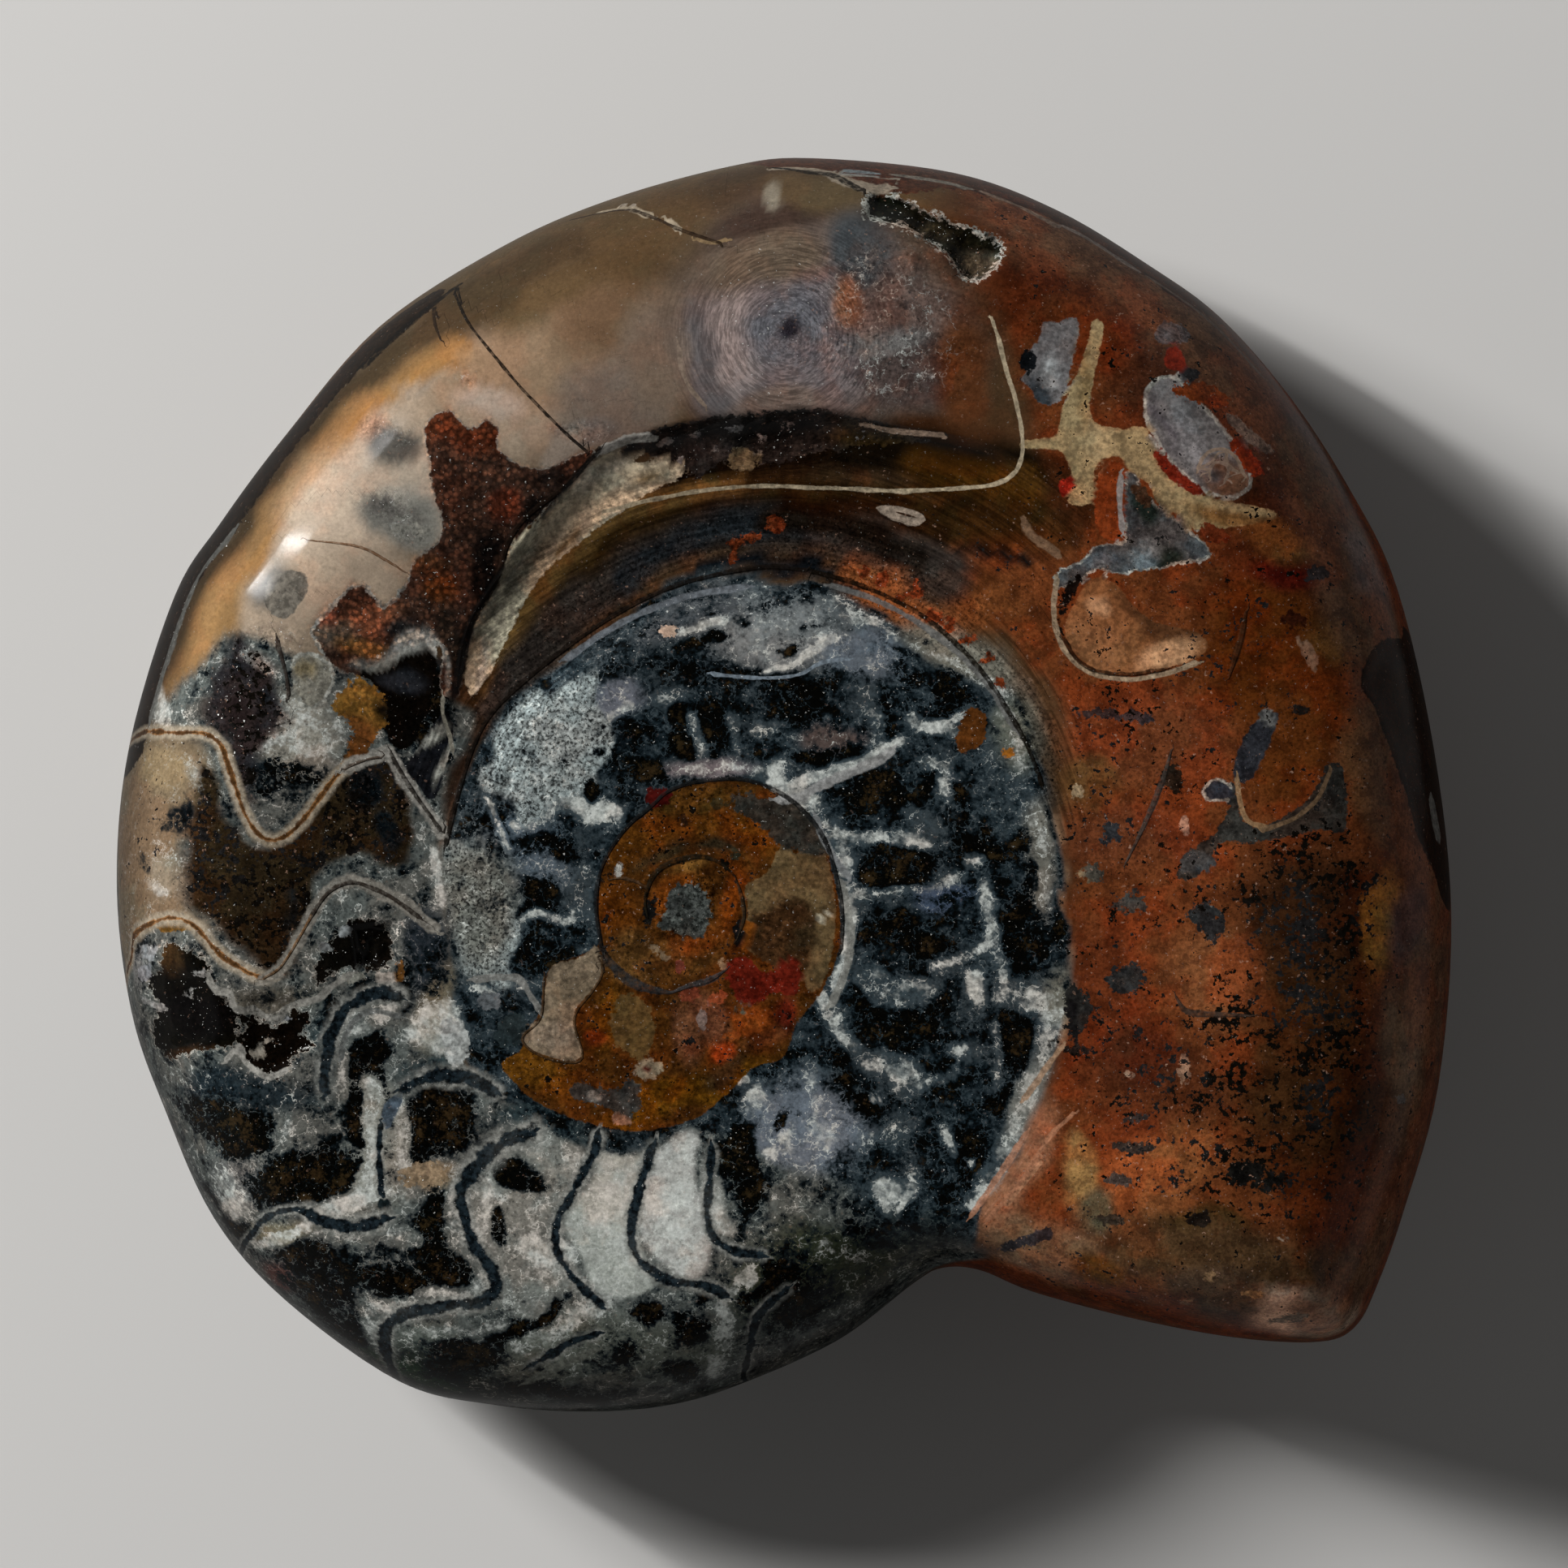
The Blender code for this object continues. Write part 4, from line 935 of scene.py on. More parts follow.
sink((
    (300, 965, 14, 26, 30, 0.36), (450, 985, 26, 30, -30, 0.3), (478, 1040, 14, 20, 0.36),
    (350, 1120, 10, 30, 0.42), (312, 835, 16, 12, 0.36), (336, 900, 12, 30, 0.4),
    (216, 1012, 18, 34, 30, 0.34), (178, 1080, 8, 20, -20, 0.4), (280, 1370, 52, 27, -8, 0.05),
    (375, 1436, 78, 35, 2, 0.04), (462, 1296, 26, 40, 0.06), (440, 1350, 18, 60, 0.1),
    (545, 1378, 48, 34, 5, 0.05), (508, 1410, 12, 34, 0.14), (535, 1500, 26, 38, 0.05),
    (510, 1562, 64, 30, 0.06), (405, 1566, 54, 44, 15, 0.16), (378, 1526, 36, 14, 0.05),
    (640, 1620, 52, 20, -4, 0.1), (570, 1662, 50, 22, -10, 0.12), (725, 1712, 44, 14, 0.14),
    (420, 1630, 34, 24, 20, 0.12), (925, 1452, 22, 56, 0.03), (1030, 1545, 74, 44, -20, 0.64),
    (960, 1562, 50, 26, 0.3), (840, 1690, 14, 18, 0.1), (800, 1618, 22, 13, -20, 0.1),
    (858, 1618, 20, 24, 0.1), (770, 1672, 12, 9, 0.12), (280, 1492, 40, 18, 30, 0.06),
    (640, 1458, 30, 24, 0.05), (628, 1520, 14, 26, -20, 0.14), (395, 1385, 22, 10, 0.3),
    (350, 1378, 30, 10, 0.7), (280, 1448, 16, 36, -30, 0.9), (232, 1425, 10, 26, -30, 0.78),
    (385, 915, 44, 40, 0.86), (335, 835, 30, 14, 30, 0.8), (244, 958, 10, 30, 0.74),
    (195, 1040, 26, 13, -20, 0.68), (192, 1108, 18, 8, 30, 0.84), (218, 862, 14, 32, 1.0),
    (515, 1030, 10, 32, -14, 0.66), (538, 1090, 8, 44, 0.9), (515, 1200, 26, 64, 0.4),
    (505, 870, 26, 60, 20, 0.14), (415, 1180, 16, 26, 10, 0.06), (425, 1120, 34, 20, -10, 0.6),
    (300, 1225, 30, 14, 20, 0.6), (365, 970, 34, 30, 0.3), (545, 1280, 30, 34, 1.0), (480, 1545, 40, 16, 0.3),
    (545, 1480, 12, 20, 0.1), (1090, 1500, 40, 22, 0.3), (240, 1470, 24, 14, 30, 0.2),
    (660, 1700, 30, 10, 0.14), (890, 1590, 24, 10, 20, 0.2), (940, 1600, 22, 16, 0.14),
    (990, 1600, 44, 34, -20, 0.16), (560, 1280, 26, 40, -10, 1.1), (610, 1215, 24, 10, 0.85),
    (610, 1270, 26, 14, 0.36)))
raise_along((
    ([(196, 1326), (260, 1330), (310, 1340), (390, 1348)], 16, 0.46),
    ([(412, 1245), (404, 1290), (400, 1335)], 14, 0.46),
    ([(428, 1340), (430, 1290), (444, 1262), (486, 1250)], 9, 0.84),
    ([(415, 1235), (440, 1218), (480, 1218)], 12, 0.34),
    ([(462, 1326), (458, 1360), (456, 1400), (454, 1462)], 10, 0.95),
    ([(494, 1345), (496, 1400), (492, 1470)], 9, 0.84), ([(470, 1466), (430, 1474), (395, 1488)], 10, 1.1),
    ([(320, 1514), (350, 1506), (390, 1503)], 8, 0.95), ([(395, 1516), (440, 1522), (510, 1516)], 11, 0.72),
    ([(560, 1600), (590, 1560), (556, 1500), (552, 1440)], 10, 0.84),
    ([(505, 1585), (560, 1588), (600, 1584)], 6, 0.8), ([(470, 1640), (466, 1612), (500, 1594)], 8, 0.9),
    ([(500, 1636), (570, 1624), (620, 1612)], 8, 0.8), ([(640, 1640), (700, 1620), (760, 1600)], 12, 0.86),
    ([(890, 1600), (900, 1640), (880, 1690)], 13, 0.86), ([(905, 1592), (925, 1580), (935, 1590)], 9, 0.95)))
WHITE_CHAMBERS = (
    ([(737, 1402), (733, 1420), (722, 1440), (705, 1470), (693, 1495), (688, 1515), (692, 1540), (703, 1558),
      (718, 1578), (740, 1598), (775, 1600), (806, 1585), (790, 1560), (781, 1530), (784, 1500), (791, 1465),
      (799, 1440), (804, 1416), (780, 1405)], (140, 141, 134), 0.76, 0.4),
    ([(808, 1416), (800, 1440), (792, 1465), (786, 1500), (784, 1525), (792, 1545), (808, 1560), (840, 1570),
      (868, 1566), (890, 1548), (878, 1520), (870, 1500), (872, 1470), (874, 1440), (872, 1418), (840, 1410)],
     (148, 145, 140), 0.8, 0.5),
    ([(640, 1400), (700, 1396), (730, 1404), (718, 1436), (700, 1470), (686, 1500), (684, 1535), (698, 1562),
      (706, 1588), (670, 1596), (640, 1602), (616, 1586), (603, 1556), (588, 1528), (575, 1500), (573, 1468),
      (584, 1442), (610, 1414)], (104, 105, 100), 0.68, 0.75),
    ([(886, 1450), (896, 1470), (898, 1500), (910, 1530), (890, 1526), (880, 1500), (880, 1470)],
     (124, 122, 116), 0.86, 0.4))
for outline, colour, white, uneven in WHITE_CHAMBERS:
    cover = area(outline, 8)
    wash(cover, ground=colour, level=white, restless=uneven)
# The two brightest white spots in the middle chamber, at (832, 1478) and (830, 1520), are partly white
# calcite and partly a painted glint of the lamp on its slope.
sink((
    (832, 1478, 34, 14, -15, 1.15), (830, 1520, 26, 14, 1.1), (640, 1458, 29, 24, 0.06),
    (628, 1520, 13, 24, -20, 0.16), (608, 1490, 8, 26, 1.1), (755, 1500, 30, 60, 0.95),
    (680, 1550, 20, 14, 30, 1.0)))
BLACK_SPAR = (
    ([(446, 830), (470, 812), (500, 792), (530, 782), (541, 800), (540, 830), (532, 870), (518, 902),
      (502, 926), (482, 912), (478, 880), (468, 850)], (8, 5, 3), 6),
    ([(503, 950), (516, 925), (532, 900), (550, 880), (560, 900), (553, 940), (537, 985), (519, 968)],
     (16, 17, 20), 5),
    ([(178, 1196), (200, 1192), (206, 1160), (240, 1170), (262, 1186), (268, 1215), (298, 1245), (300, 1275),
      (290, 1288), (262, 1290), (240, 1296), (206, 1302), (188, 1270), (200, 1240), (186, 1218)], (6, 5, 3),
     16, 2.2),
    ([(306, 1250), (325, 1256), (345, 1262), (364, 1240), (388, 1250), (378, 1268), (390, 1288), (366, 1300),
      (356, 1322), (336, 1326), (318, 1314), (304, 1300), (300, 1275)], (8, 5, 3), 16, 2.2),
    ([(405, 1160), (425, 1150), (432, 1132), (470, 1134), (482, 1150), (486, 1180), (470, 1196), (440, 1190),
      (410, 1200), (398, 1215), (388, 1200), (396, 1180)], (9, 7, 5), 14, 1.6))
for outline, colour, ragged, *rind in BLACK_SPAR:
    lay(filling, outline, colour, ragged, *rind)
tint(filling["tone"], (
    (218, 1185, 18, 26, (46, 32, 16)), (255, 1250, 40, 24, (5, 4, 4)), (240, 1290, 50, 8, (36, 22, 10)),
    (500, 900, 16, 24, (5, 4, 3)), (490, 838, 20, 11, (30, 32, 36)), (470, 815, 30, 7, -35, (108, 106, 100)),
    (500, 796, 26, 11, -25, (142, 140, 134)), (530, 793, 10, 14, (150, 148, 142)),
    (537, 830, 4, 34, 5, (118, 115, 108)), (518, 912, 5, 26, 35, (112, 110, 104)),
    (530, 905, 9, 22, 35, (126, 124, 116)), (550, 935, 6, 46, 14, (138, 136, 128))))
lay(inlay, (388, 838, 29, 31), (112, 107, 97), ragged=4, rind=5)
tint(inlay["tone"], ((388, 838, 13, 13, (104, 92, 70)),))
lay(inlay, [(498, 1344), (484, 1349), (474, 1365), (471, 1386), (481, 1387), (491, 1372), (497, 1356)],
    (66, 75, 84), ragged=3)
lay(inlay, (477, 1486, 8, 15), (22, 30, 32), ragged=4)
lay(inlay, (524, 1444, 24, 18), (120, 106, 86), ragged=12)
# In the pits, the brown lumps are crystal and the pale grey ones are painted glints on crystal faces.
PIT_CRYSTALS_AND_GLINTS = (
    (222, 1140, 24, 8, (86, 62, 24)), (322, 1296, 9, 10, 20, (104, 100, 92)),
    (335, 1278, 6, 5, (110, 106, 98)), (354, 1254, 7, 6, (104, 104, 106)),
    (187, 1172, 12, 10, (120, 122, 124)), (180, 1198, 12, 10, (124, 126, 130)),
    (190, 1236, 20, 5, 20, (124, 124, 122)), (253, 1198, 12, 5, (110, 110, 108)),
    (237, 1220, 10, 3, -20, (104, 104, 102)), (245, 1232, 8, 3, -15, (96, 96, 94)),
    (428, 1145, 8, 8, (118, 120, 120)), (404, 1166, 9, 6, 30, (90, 92, 92)),
    (438, 1202, 16, 6, (112, 110, 102)), (478, 1204, 12, 9, (124, 120, 114)),
    (495, 1195, 6, 14, (88, 60, 28)))
for *place_and_size, colour in PIT_CRYSTALS_AND_GLINTS:
    lay(inlay, place_and_size, colour, ragged=6)
# Painted glints of the lamp on crystals round the pits and masses.
for x, y in ((300, 870), (330, 890), (320, 930), (200, 1180), (230, 1230), (350, 1290), (440, 1170),
             (512, 1445)):
    wash(spot(x, y, 40, 30), glint=1.0)

# The sutures
# Each chamber wall shows in the polish as a wavy line: two golden ones in the cream calcite at the left, and
# blue-black ones with pale borders lower down. They run on over the side.
GUARD = 7.0
LINE_STEPS = 5
TAPERED_END = 0.35


def pen():
    """A set of drawn lines: distance to one side, distance all round, end guard, and colour."""
    return {"line": np.full((COUNT, 3), FAR), "tone": np.zeros((COUNT, 3))}


def draw(lines, path, half_width, colour=(0, 0, 0), tapered=False):
    """Draws a smooth line. Distances are stored in half widths."""
    curve = curve_through(path, LINE_STEPS, closed=False)
    lowest, highest = curve.min(axis=0) - FAR, curve.max(axis=0) + FAR
    near = np.flatnonzero((U > lowest[0]) & (U < highest[0]) & (V > lowest[1]) & (V < highest[1]))
    u, v = U[near], V[near]
    nearest, side, place = np.full(near.shape, np.inf), np.ones(near.shape), np.zeros(near.shape)
    for number, ((ax, ay), (bx, by), along, gap) in enumerate(stretches(curve, u, v)):
        closer = gap < nearest
        nearest = np.where(closer, gap, nearest)
        side = np.where(closer, np.sign((bx - ax) * (v - ay) - (by - ay) * (u - ax)), side)
        place = np.where(closer, (number + along) / (len(curve) - 1), place)
    width = np.full(near.shape, half_width, dtype=float)
    if tapered:
        width *= TAPERED_END + (1 - TAPERED_END) * np.sin(math.pi * place)
    away = nearest / width
    closer = away < lines["line"][near, 1]
    chosen = near[closer]
    lines["line"][chosen, 0] = (side * away)[closer]
    lines["line"][chosen, 1] = away[closer]
    lines["line"][chosen, 2] = (GUARD / width)[closer]
    lines["tone"][chosen] = tone(*colour)


gold_suture, slate_suture, pale_line, dark_line = pen(), pen(), pen(), pen()
GOLD_SUTURES = (
    ([(60, 893), (110, 896), (160, 900), (219, 903), (255, 904), (275, 917), (285, 940), (293, 965),
      (302, 993), (314, 1017), (327, 1031), (341, 1035), (355, 1030), (370, 1018), (388, 996), (403, 975),
      (418, 956), (432, 944)], 10),
    ([(80, 1225), (120, 1200), (152, 1180), (163, 1158), (178, 1143), (202, 1132), (227, 1131), (245, 1141),
      (262, 1160), (280, 1178), (300, 1191), (320, 1201), (332, 1203)], 10.5))
for path, half_width in GOLD_SUTURES:
    draw(gold_suture, path, half_width)
SLATE_SUTURES = (
    ([(472, 1386), (470, 1420), (473, 1466)], 6), ([(474, 1500), (440, 1508), (400, 1502), (385, 1494)], 13),
    ([(385, 1494), (366, 1487), (345, 1491), (325, 1502), (312, 1520), (270, 1562), (230, 1602)], 7),
    ([(655, 1394), (625, 1404), (600, 1422), (580, 1446)], 19),
    ([(640, 1394), (615, 1410), (595, 1425), (580, 1441), (571, 1465), (573, 1490), (585, 1525), (600, 1550),
      (611, 1570), (612, 1588), (596, 1600), (570, 1602), (540, 1608), (510, 1613), (486, 1623), (476, 1642),
      (478, 1668), (470, 1720), (440, 1790)], 13),
    ([(738, 1400), (733, 1420), (722, 1440), (705, 1470), (692, 1495), (686, 1515), (689, 1540), (700, 1560),
      (716, 1580), (742, 1602)], 10),
    ([(804, 1412), (796, 1440), (787, 1465), (781, 1500), (779, 1525), (786, 1545), (801, 1560), (822, 1572),
      (847, 1578), (870, 1580), (893, 1592)], 10),
    ([(877, 1412), (876, 1440), (873, 1470), (872, 1498), (878, 1519), (891, 1532), (911, 1540), (937, 1543)],
     9),
    ([(653, 1680), (680, 1665), (705, 1650), (736, 1640)], 8),
    ([(925, 1650), (931, 1625), (946, 1605), (970, 1586)], 8),
    ([(502, 1338), (522, 1328), (550, 1323), (580, 1327), (610, 1342)], 13),
    ([(404, 1340), (406, 1300), (414, 1268), (425, 1246), (444, 1230), (470, 1221), (496, 1228)], 13),
    ([(925, 1650), (918, 1700), (925, 1760)], 7))
for path, half_width in SLATE_SUTURES:
    draw(slate_suture, path, half_width)

# Pale and dark lines
# Thin shell walls and veins show as white or cream lines, cracks and healed joints as dark ones. The saw
# and the wheel also left a few straight marks.
PALE_LINES = (
    ([(430, 946), (452, 936), (470, 931), (482, 926), (494, 948), (512, 976), (530, 1003), (547, 1024)], 9,
     (126, 123, 116)),
    ([(330, 1204), (347, 1194), (362, 1173), (375, 1150), (386, 1130), (398, 1109), (411, 1094), (426, 1086),
      (442, 1084), (460, 1091), (482, 1102), (502, 1113), (520, 1130), (536, 1142)], 9, (112, 108, 100)),
    ([(750, 632), (775, 625), (803, 618), (851, 609), (899, 603), (946, 601), (1000, 603), (1039, 604),
      (1103, 607), (1183, 604), (1225, 599), (1248, 586), (1257, 563), (1256, 531), (1248, 492), (1238, 461),
      (1229, 425), (1221, 400)], 2.7, (150, 137, 114)),
    ([(1080, 632), (1100, 640), (1125, 648), (1136, 641), (1118, 632), (1095, 628), (1080, 630)], 3.2,
     (138, 124, 110)),
    ([(560, 925), (556, 905), (548, 880), (548, 860)], 3, (120, 116, 104)),
    ([(1025, 723), (1080, 741), (1130, 768), (1180, 806), (1220, 850), (1250, 900)], 4, (84, 84, 82)),
    ([(700, 812), (760, 772), (840, 738), (920, 724)], 4, (80, 84, 88)),
    ([(1300, 718), (1296, 750), (1300, 780), (1314, 808), (1341, 829), (1390, 838), (1439, 829), (1470, 818)],
     3.6, (122, 106, 86)),
    ([(1520, 960), (1524, 990), (1534, 1012), (1552, 1018)], 3.5, (116, 92, 66)),
    ([(1472, 580), (1482, 562), (1502, 556), (1520, 568), (1528, 588)], 2.4, (124, 104, 88)),
    ([(1486, 590), (1488, 576), (1502, 572), (1510, 584), (1504, 596)], 1.8, (110, 92, 80)),
    ([(1552, 1022), (1590, 1008), (1618, 984), (1634, 950)], 3, (84, 66, 48)),
    ([(1260, 648), (1272, 664), (1298, 682)], 6, (96, 74, 56)),
    ([(1195, 1495), (1230, 1445), (1262, 1395)], 4, (150, 106, 82)),
    ([(1215, 1500), (1255, 1455), (1290, 1400), (1320, 1370)], 3, (134, 92, 68)),
    ([(1262, 1350), (1290, 1310), (1305, 1290)], 4, (140, 112, 88)),
    ([(1240, 1480), (1280, 1430)], 3, (140, 100, 74)),
    ([(1378, 590), (1376, 620), (1380, 655)], 3.5, (122, 118, 114)),
    ([(960, 985), (985, 982), (1010, 968), (1040, 955), (1075, 940), (1098, 925)], 6, (128, 128, 126)),
    ([(1005, 1010), (1015, 1035), (1030, 1060), (1045, 1080)], 4.5, (104, 106, 106)),
    ([(1036, 1085), (1044, 1120), (1048, 1160), (1040, 1200), (1024, 1235)], 5, (112, 112, 106)),
    ([(588, 1206), (615, 1202), (642, 1206), (656, 1226), (666, 1242)], 4.5, (104, 104, 100)),
    ([(262, 1206), (272, 1222), (286, 1220), (292, 1240), (304, 1245), (316, 1240), (328, 1250), (346, 1254),
      (356, 1240), (372, 1235), (396, 1228), (412, 1214), (434, 1200)], 4.5, (112, 110, 104)),
    ([(284, 1302), (300, 1286), (304, 1303), (316, 1315), (336, 1326), (356, 1316)], 4, (124, 122, 116)),
    ([(424, 1300), (428, 1278), (440, 1256), (462, 1244), (494, 1250)], 4, (84, 86, 84)),
    ([(1045, 812), (1010, 818), (985, 832), (940, 836), (880, 832)], 2.6, (104, 114, 122)),
    ([(838, 430), (840, 455), (850, 480), (868, 502)], 3, (108, 94, 82)),
    ([(744, 557), (775, 545), (800, 540)], 6, (170, 166, 158)),
    ([(1066, 527), (1100, 534), (1160, 539)], 3.2, (132, 112, 96)),
    ([(650, 1700), (690, 1680), (735, 1660)], 5, (96, 98, 90)),
    ([(862, 300), (880, 304), (895, 300)], 3, (104, 86, 62)),
    ([(741, 250), (765, 255), (790, 265), (800, 268)], 4.5, (130, 118, 100)),
    ([(770, 243), (780, 250), (776, 258)], 4, (126, 116, 104)),
    ([(825, 276), (834, 284)], 4.5, (134, 122, 104)),
    ([(958, 200), (985, 202), (1010, 210), (1040, 226), (1070, 236), (1092, 236)], 7, (122, 112, 98)),
    ([(1045, 205), (1075, 208)], 7, (96, 104, 106)),
    ([(1110, 212), (1160, 220), (1190, 230)], 6, (96, 92, 84)),
    ([(1215, 236), (1260, 255), (1300, 280)], 5, (104, 88, 76)),
    ([(1310, 275), (1345, 290), (1375, 310), (1400, 326)], 6, (104, 94, 88)),
    ([(1425, 340), (1470, 370), (1510, 402), (1560, 455)], 4, (84, 72, 64)),
    ([(186, 885), (206, 816), (243, 713), (289, 655)], 5, (90, 90, 86)))
for path, half_width, colour in PALE_LINES:
    draw(pale_line, path, half_width, colour)
# The two dark lines that run both ways from (995, 704) along the seam round the inner turn are partly its
# dark joint and partly painted shade in the groove.
DARK_LINES = (
    ([(430, 946), (452, 937), (470, 933)], 2, (60, 50, 42)),
    ([(484, 928), (496, 950), (516, 982), (545, 1022)], 3, (30, 26, 22)),
    ([(330, 1203), (347, 1193), (362, 1172), (376, 1148), (388, 1127)], 2.2, (84, 60, 36)),
    ([(388, 1127), (400, 1108), (412, 1096), (428, 1088), (444, 1087), (462, 1094), (484, 1104), (520, 1130)],
     3, (38, 32, 27)),
    ([(556, 350), (577, 397), (600, 428), (617, 449), (645, 482), (674, 512), (700, 538), (728, 562)], 1.9,
     (16, 14, 12)),
    ([(545, 358), (537, 380), (538, 402), (547, 426)], 2.4, (30, 22, 16), True),
    ([(700, 245), (737, 253), (789, 265), (841, 288), (887, 304)], 2.4, (34, 24, 16)),
    ([(381, 667), (444, 675), (475, 690), (502, 707)], 2.2, (96, 70, 50), True),
    ([(995, 704), (1050, 719), (1100, 740), (1150, 770), (1200, 818), (1232, 862), (1262, 915), (1282, 965)],
     3.2, (14, 10, 6)),
    ([(995, 704), (950, 700), (900, 706), (830, 724), (760, 758), (690, 806), (620, 866), (590, 910),
      (568, 975), (552, 1040)], 3.4, (18, 14, 11)),
    ([(345, 790), (352, 815), (357, 835), (360, 858)], 3, (40, 34, 30)),
    ([(742, 1165), (755, 1187), (775, 1206), (800, 1217), (828, 1222)], 6.5, (34, 34, 34), True),
    ([(828, 1222), (850, 1213), (875, 1206), (894, 1194)], 4.5, (44, 42, 42), True),
    ([(743, 1086), (765, 1081), (785, 1086), (796, 1092)], 2.2, (58, 42, 28), True),
    ([(672, 1204), (668, 1252), (646, 1276), (657, 1293), (690, 1306), (719, 1302), (709, 1254), (730, 1222),
      (743, 1200), (743, 1180)], 1.8, (52, 38, 24)),
    ([(742, 1165), (736, 1116), (743, 1067), (771, 1022), (803, 994), (826, 974), (869, 962), (924, 962),
      (972, 984), (1006, 1018), (1024, 1056), (1037, 1116), (1036, 1170)], 3, (18, 18, 18)),
    ([(799, 1130), (796, 1108), (803, 1085), (816, 1069), (838, 1059), (862, 1055), (887, 1062), (906, 1079)],
     4.2, (20, 17, 11), True),
    ([(906, 1079), (914, 1104), (917, 1130), (909, 1156)], 3.2, (34, 28, 20), True),
    ([(1440, 925), (1430, 960), (1410, 1010), (1385, 1062)], 4, (48, 42, 38), True),
    ([(1532, 752), (1524, 790), (1510, 836)], 5, (46, 26, 14), True),
    ([(1310, 790), (1325, 814), (1350, 828), (1390, 832), (1430, 826)], 3, (30, 18, 10)),
    ([(1445, 1225), (1460, 1245), (1500, 1248), (1540, 1250)], 4, (44, 34, 28), True),
    ([(957, 197), (990, 212), (1023, 218), (1059, 238)], 4, (12, 9, 6)),
    ([(740, 556), (700, 600), (650, 640), (628, 672), (618, 705), (604, 735), (582, 774), (570, 829)], 4.0,
     (20, 14, 10)),
    ([(450, 452), (480, 424), (500, 405), (560, 352)], 5, (14, 12, 10)))
for path, half_width, colour, *tapered in DARK_LINES:
    draw(dark_line, path, half_width, colour, *tapered)

# Pockets, flakes and chips
# The polish stopped short of the deepest places: an open crystal pocket by the top, rough black pits at the
# lower left, and flakes off the edge where rough brown stone shows. Ledge and pits are roughened.
CRYSTAL_POCKET = [
    (1071, 241), (1103, 244), (1167, 276), (1228, 301), (1234, 320), (1215, 343), (1189, 352), (1164, 320),
    (1110, 285), (1068, 272),
]
BLACK_POCKETS = [
    [(172, 1200), (215, 1175), (262, 1205), (275, 1270), (240, 1300), (190, 1290)],
    [(300, 1215), (372, 1225), (392, 1290), (350, 1330), (305, 1300)],
    [(430, 1135), (495, 1130), (500, 1190), (440, 1205)],
]
SIDE_FLAKE = [
    (1755, 775), (1692, 794), (1671, 843), (1688, 871), (1709, 927), (1727, 976), (1741, 1025), (1762, 1071),
    (1800, 1110), (1830, 940),
]
TOP_FLAKE = [
    (950, 180), (1023, 212), (1084, 243), (1190, 236), (1290, 262), (1405, 330), (1440, 300), (1180, 170),
]
LEFT_FLAKE = [
    (150, 935), (186, 885), (208, 816), (243, 722), (292, 655), (366, 548), (450, 452), (500, 405),
    (440, 390), (250, 600), (140, 800),
]
CRYSTAL_POCKET_DEPTH = 1.3
CRYSTAL_HEIGHT = 0.35
BLACK_POCKET_DEPTH = 0.6
BLACK_POCKET_ROUGHNESS = 0.2
FLAKE_DEPTH = 0.55
FLAKE_ROUGHNESS = 0.12
FLAKE_EDGE = 0.8
POCKET_LIP = 0.3


def hollow(outline, depth, roughness, size, seed, lip=0.0):
    """Sinks a hollow with a lumpy floor in the face, and returns how much it covers each point."""
    cover = smooth_step(edge_distance(on_shell(outline), X, Y) / FLAKE_EDGE + lip) * on_face
    relief[:] -= depth * cover
    relief[:] -= roughness * cover * lumps(size, seed)
    return cover


cover = hollow(CRYSTAL_POCKET, CRYSTAL_POCKET_DEPTH, CRYSTAL_HEIGHT, size=11, seed=21, lip=POCKET_LIP)
lay(filling, CRYSTAL_POCKET, (14, 15, 9), ragged=13, rind=5)
tint(filling["tone"], (
    (1205, 325, 26, 18, (62, 60, 50)), (1150, 300, 14, 10, (40, 40, 30)),
    (1180, 270, 30, 8, 30, (56, 54, 46))))
wash(cover, mottle=1.0, glint=1.0, bare=1.0)
for pocket in BLACK_POCKETS:
    cover = hollow(pocket, BLACK_POCKET_DEPTH, BLACK_POCKET_ROUGHNESS, size=10, seed=22)
    wash(cover, bare=0.8)
SIDE_BREAK = [
    (1758, 760), (1740, 782), (1692, 794), (1671, 843), (1688, 871), (1709, 927), (1727, 976), (1741, 1025),
    (1762, 1071), (1790, 1110), (1860, 1110), (1880, 940), (1840, 780),
]
lay(filling, SIDE_BREAK, (30, 14, 4), ragged=3)
TOP_BREAK = [
    (950, 120), (957, 195), (1023, 212), (1084, 243), (1190, 236), (1290, 262), (1405, 330), (1470, 380),
    (1520, 330), (1300, 130),
]
lay(filling, TOP_BREAK, (60, 34, 22), ragged=8)
LEFT_BREAK = [
    (60, 935), (166, 935), (186, 885), (208, 816), (243, 722), (292, 655), (366, 548), (450, 452), (540, 372),
    (520, 330), (400, 400), (200, 600), (80, 800),
]
lay(filling, LEFT_BREAK, (27, 18, 11), ragged=7)
for flake in (SIDE_FLAKE, TOP_FLAKE, LEFT_FLAKE):
    cover = hollow(flake, FLAKE_DEPTH, FLAKE_ROUGHNESS, size=12, seed=23)
    wash(cover, mottle=0.8, bare=0.4)
# Painted glints along the broken inner edge of the left flake.
wash(band([(190, 880), (206, 816), (243, 713), (289, 655)], 12), glint=1.0)
lay(inlay, [(1760, 985), (1775, 975), (1790, 1000), (1800, 1030), (1785, 1040), (1768, 1020)], (96, 92, 88),
    ragged=5)

# The whole face is a little uneven, and the crest is a little fuller at the upper left.
FACE_GRAIN = 0.02
CREST_FULLNESS = 0.34
FULLEST_PLACE = (366, 656)
FULLNESS_SPREAD = 3.8
relief += FACE_GRAIN * lumps(size=60, seed=31) * on_face
from_fullest = np.hypot(*(np.stack([X, Y], axis=1) - on_shell(FULLEST_PLACE)).T)
relief += CREST_FULLNESS * np.exp(-(from_fullest / FULLNESS_SPREAD) ** 2 / 2) * on_face

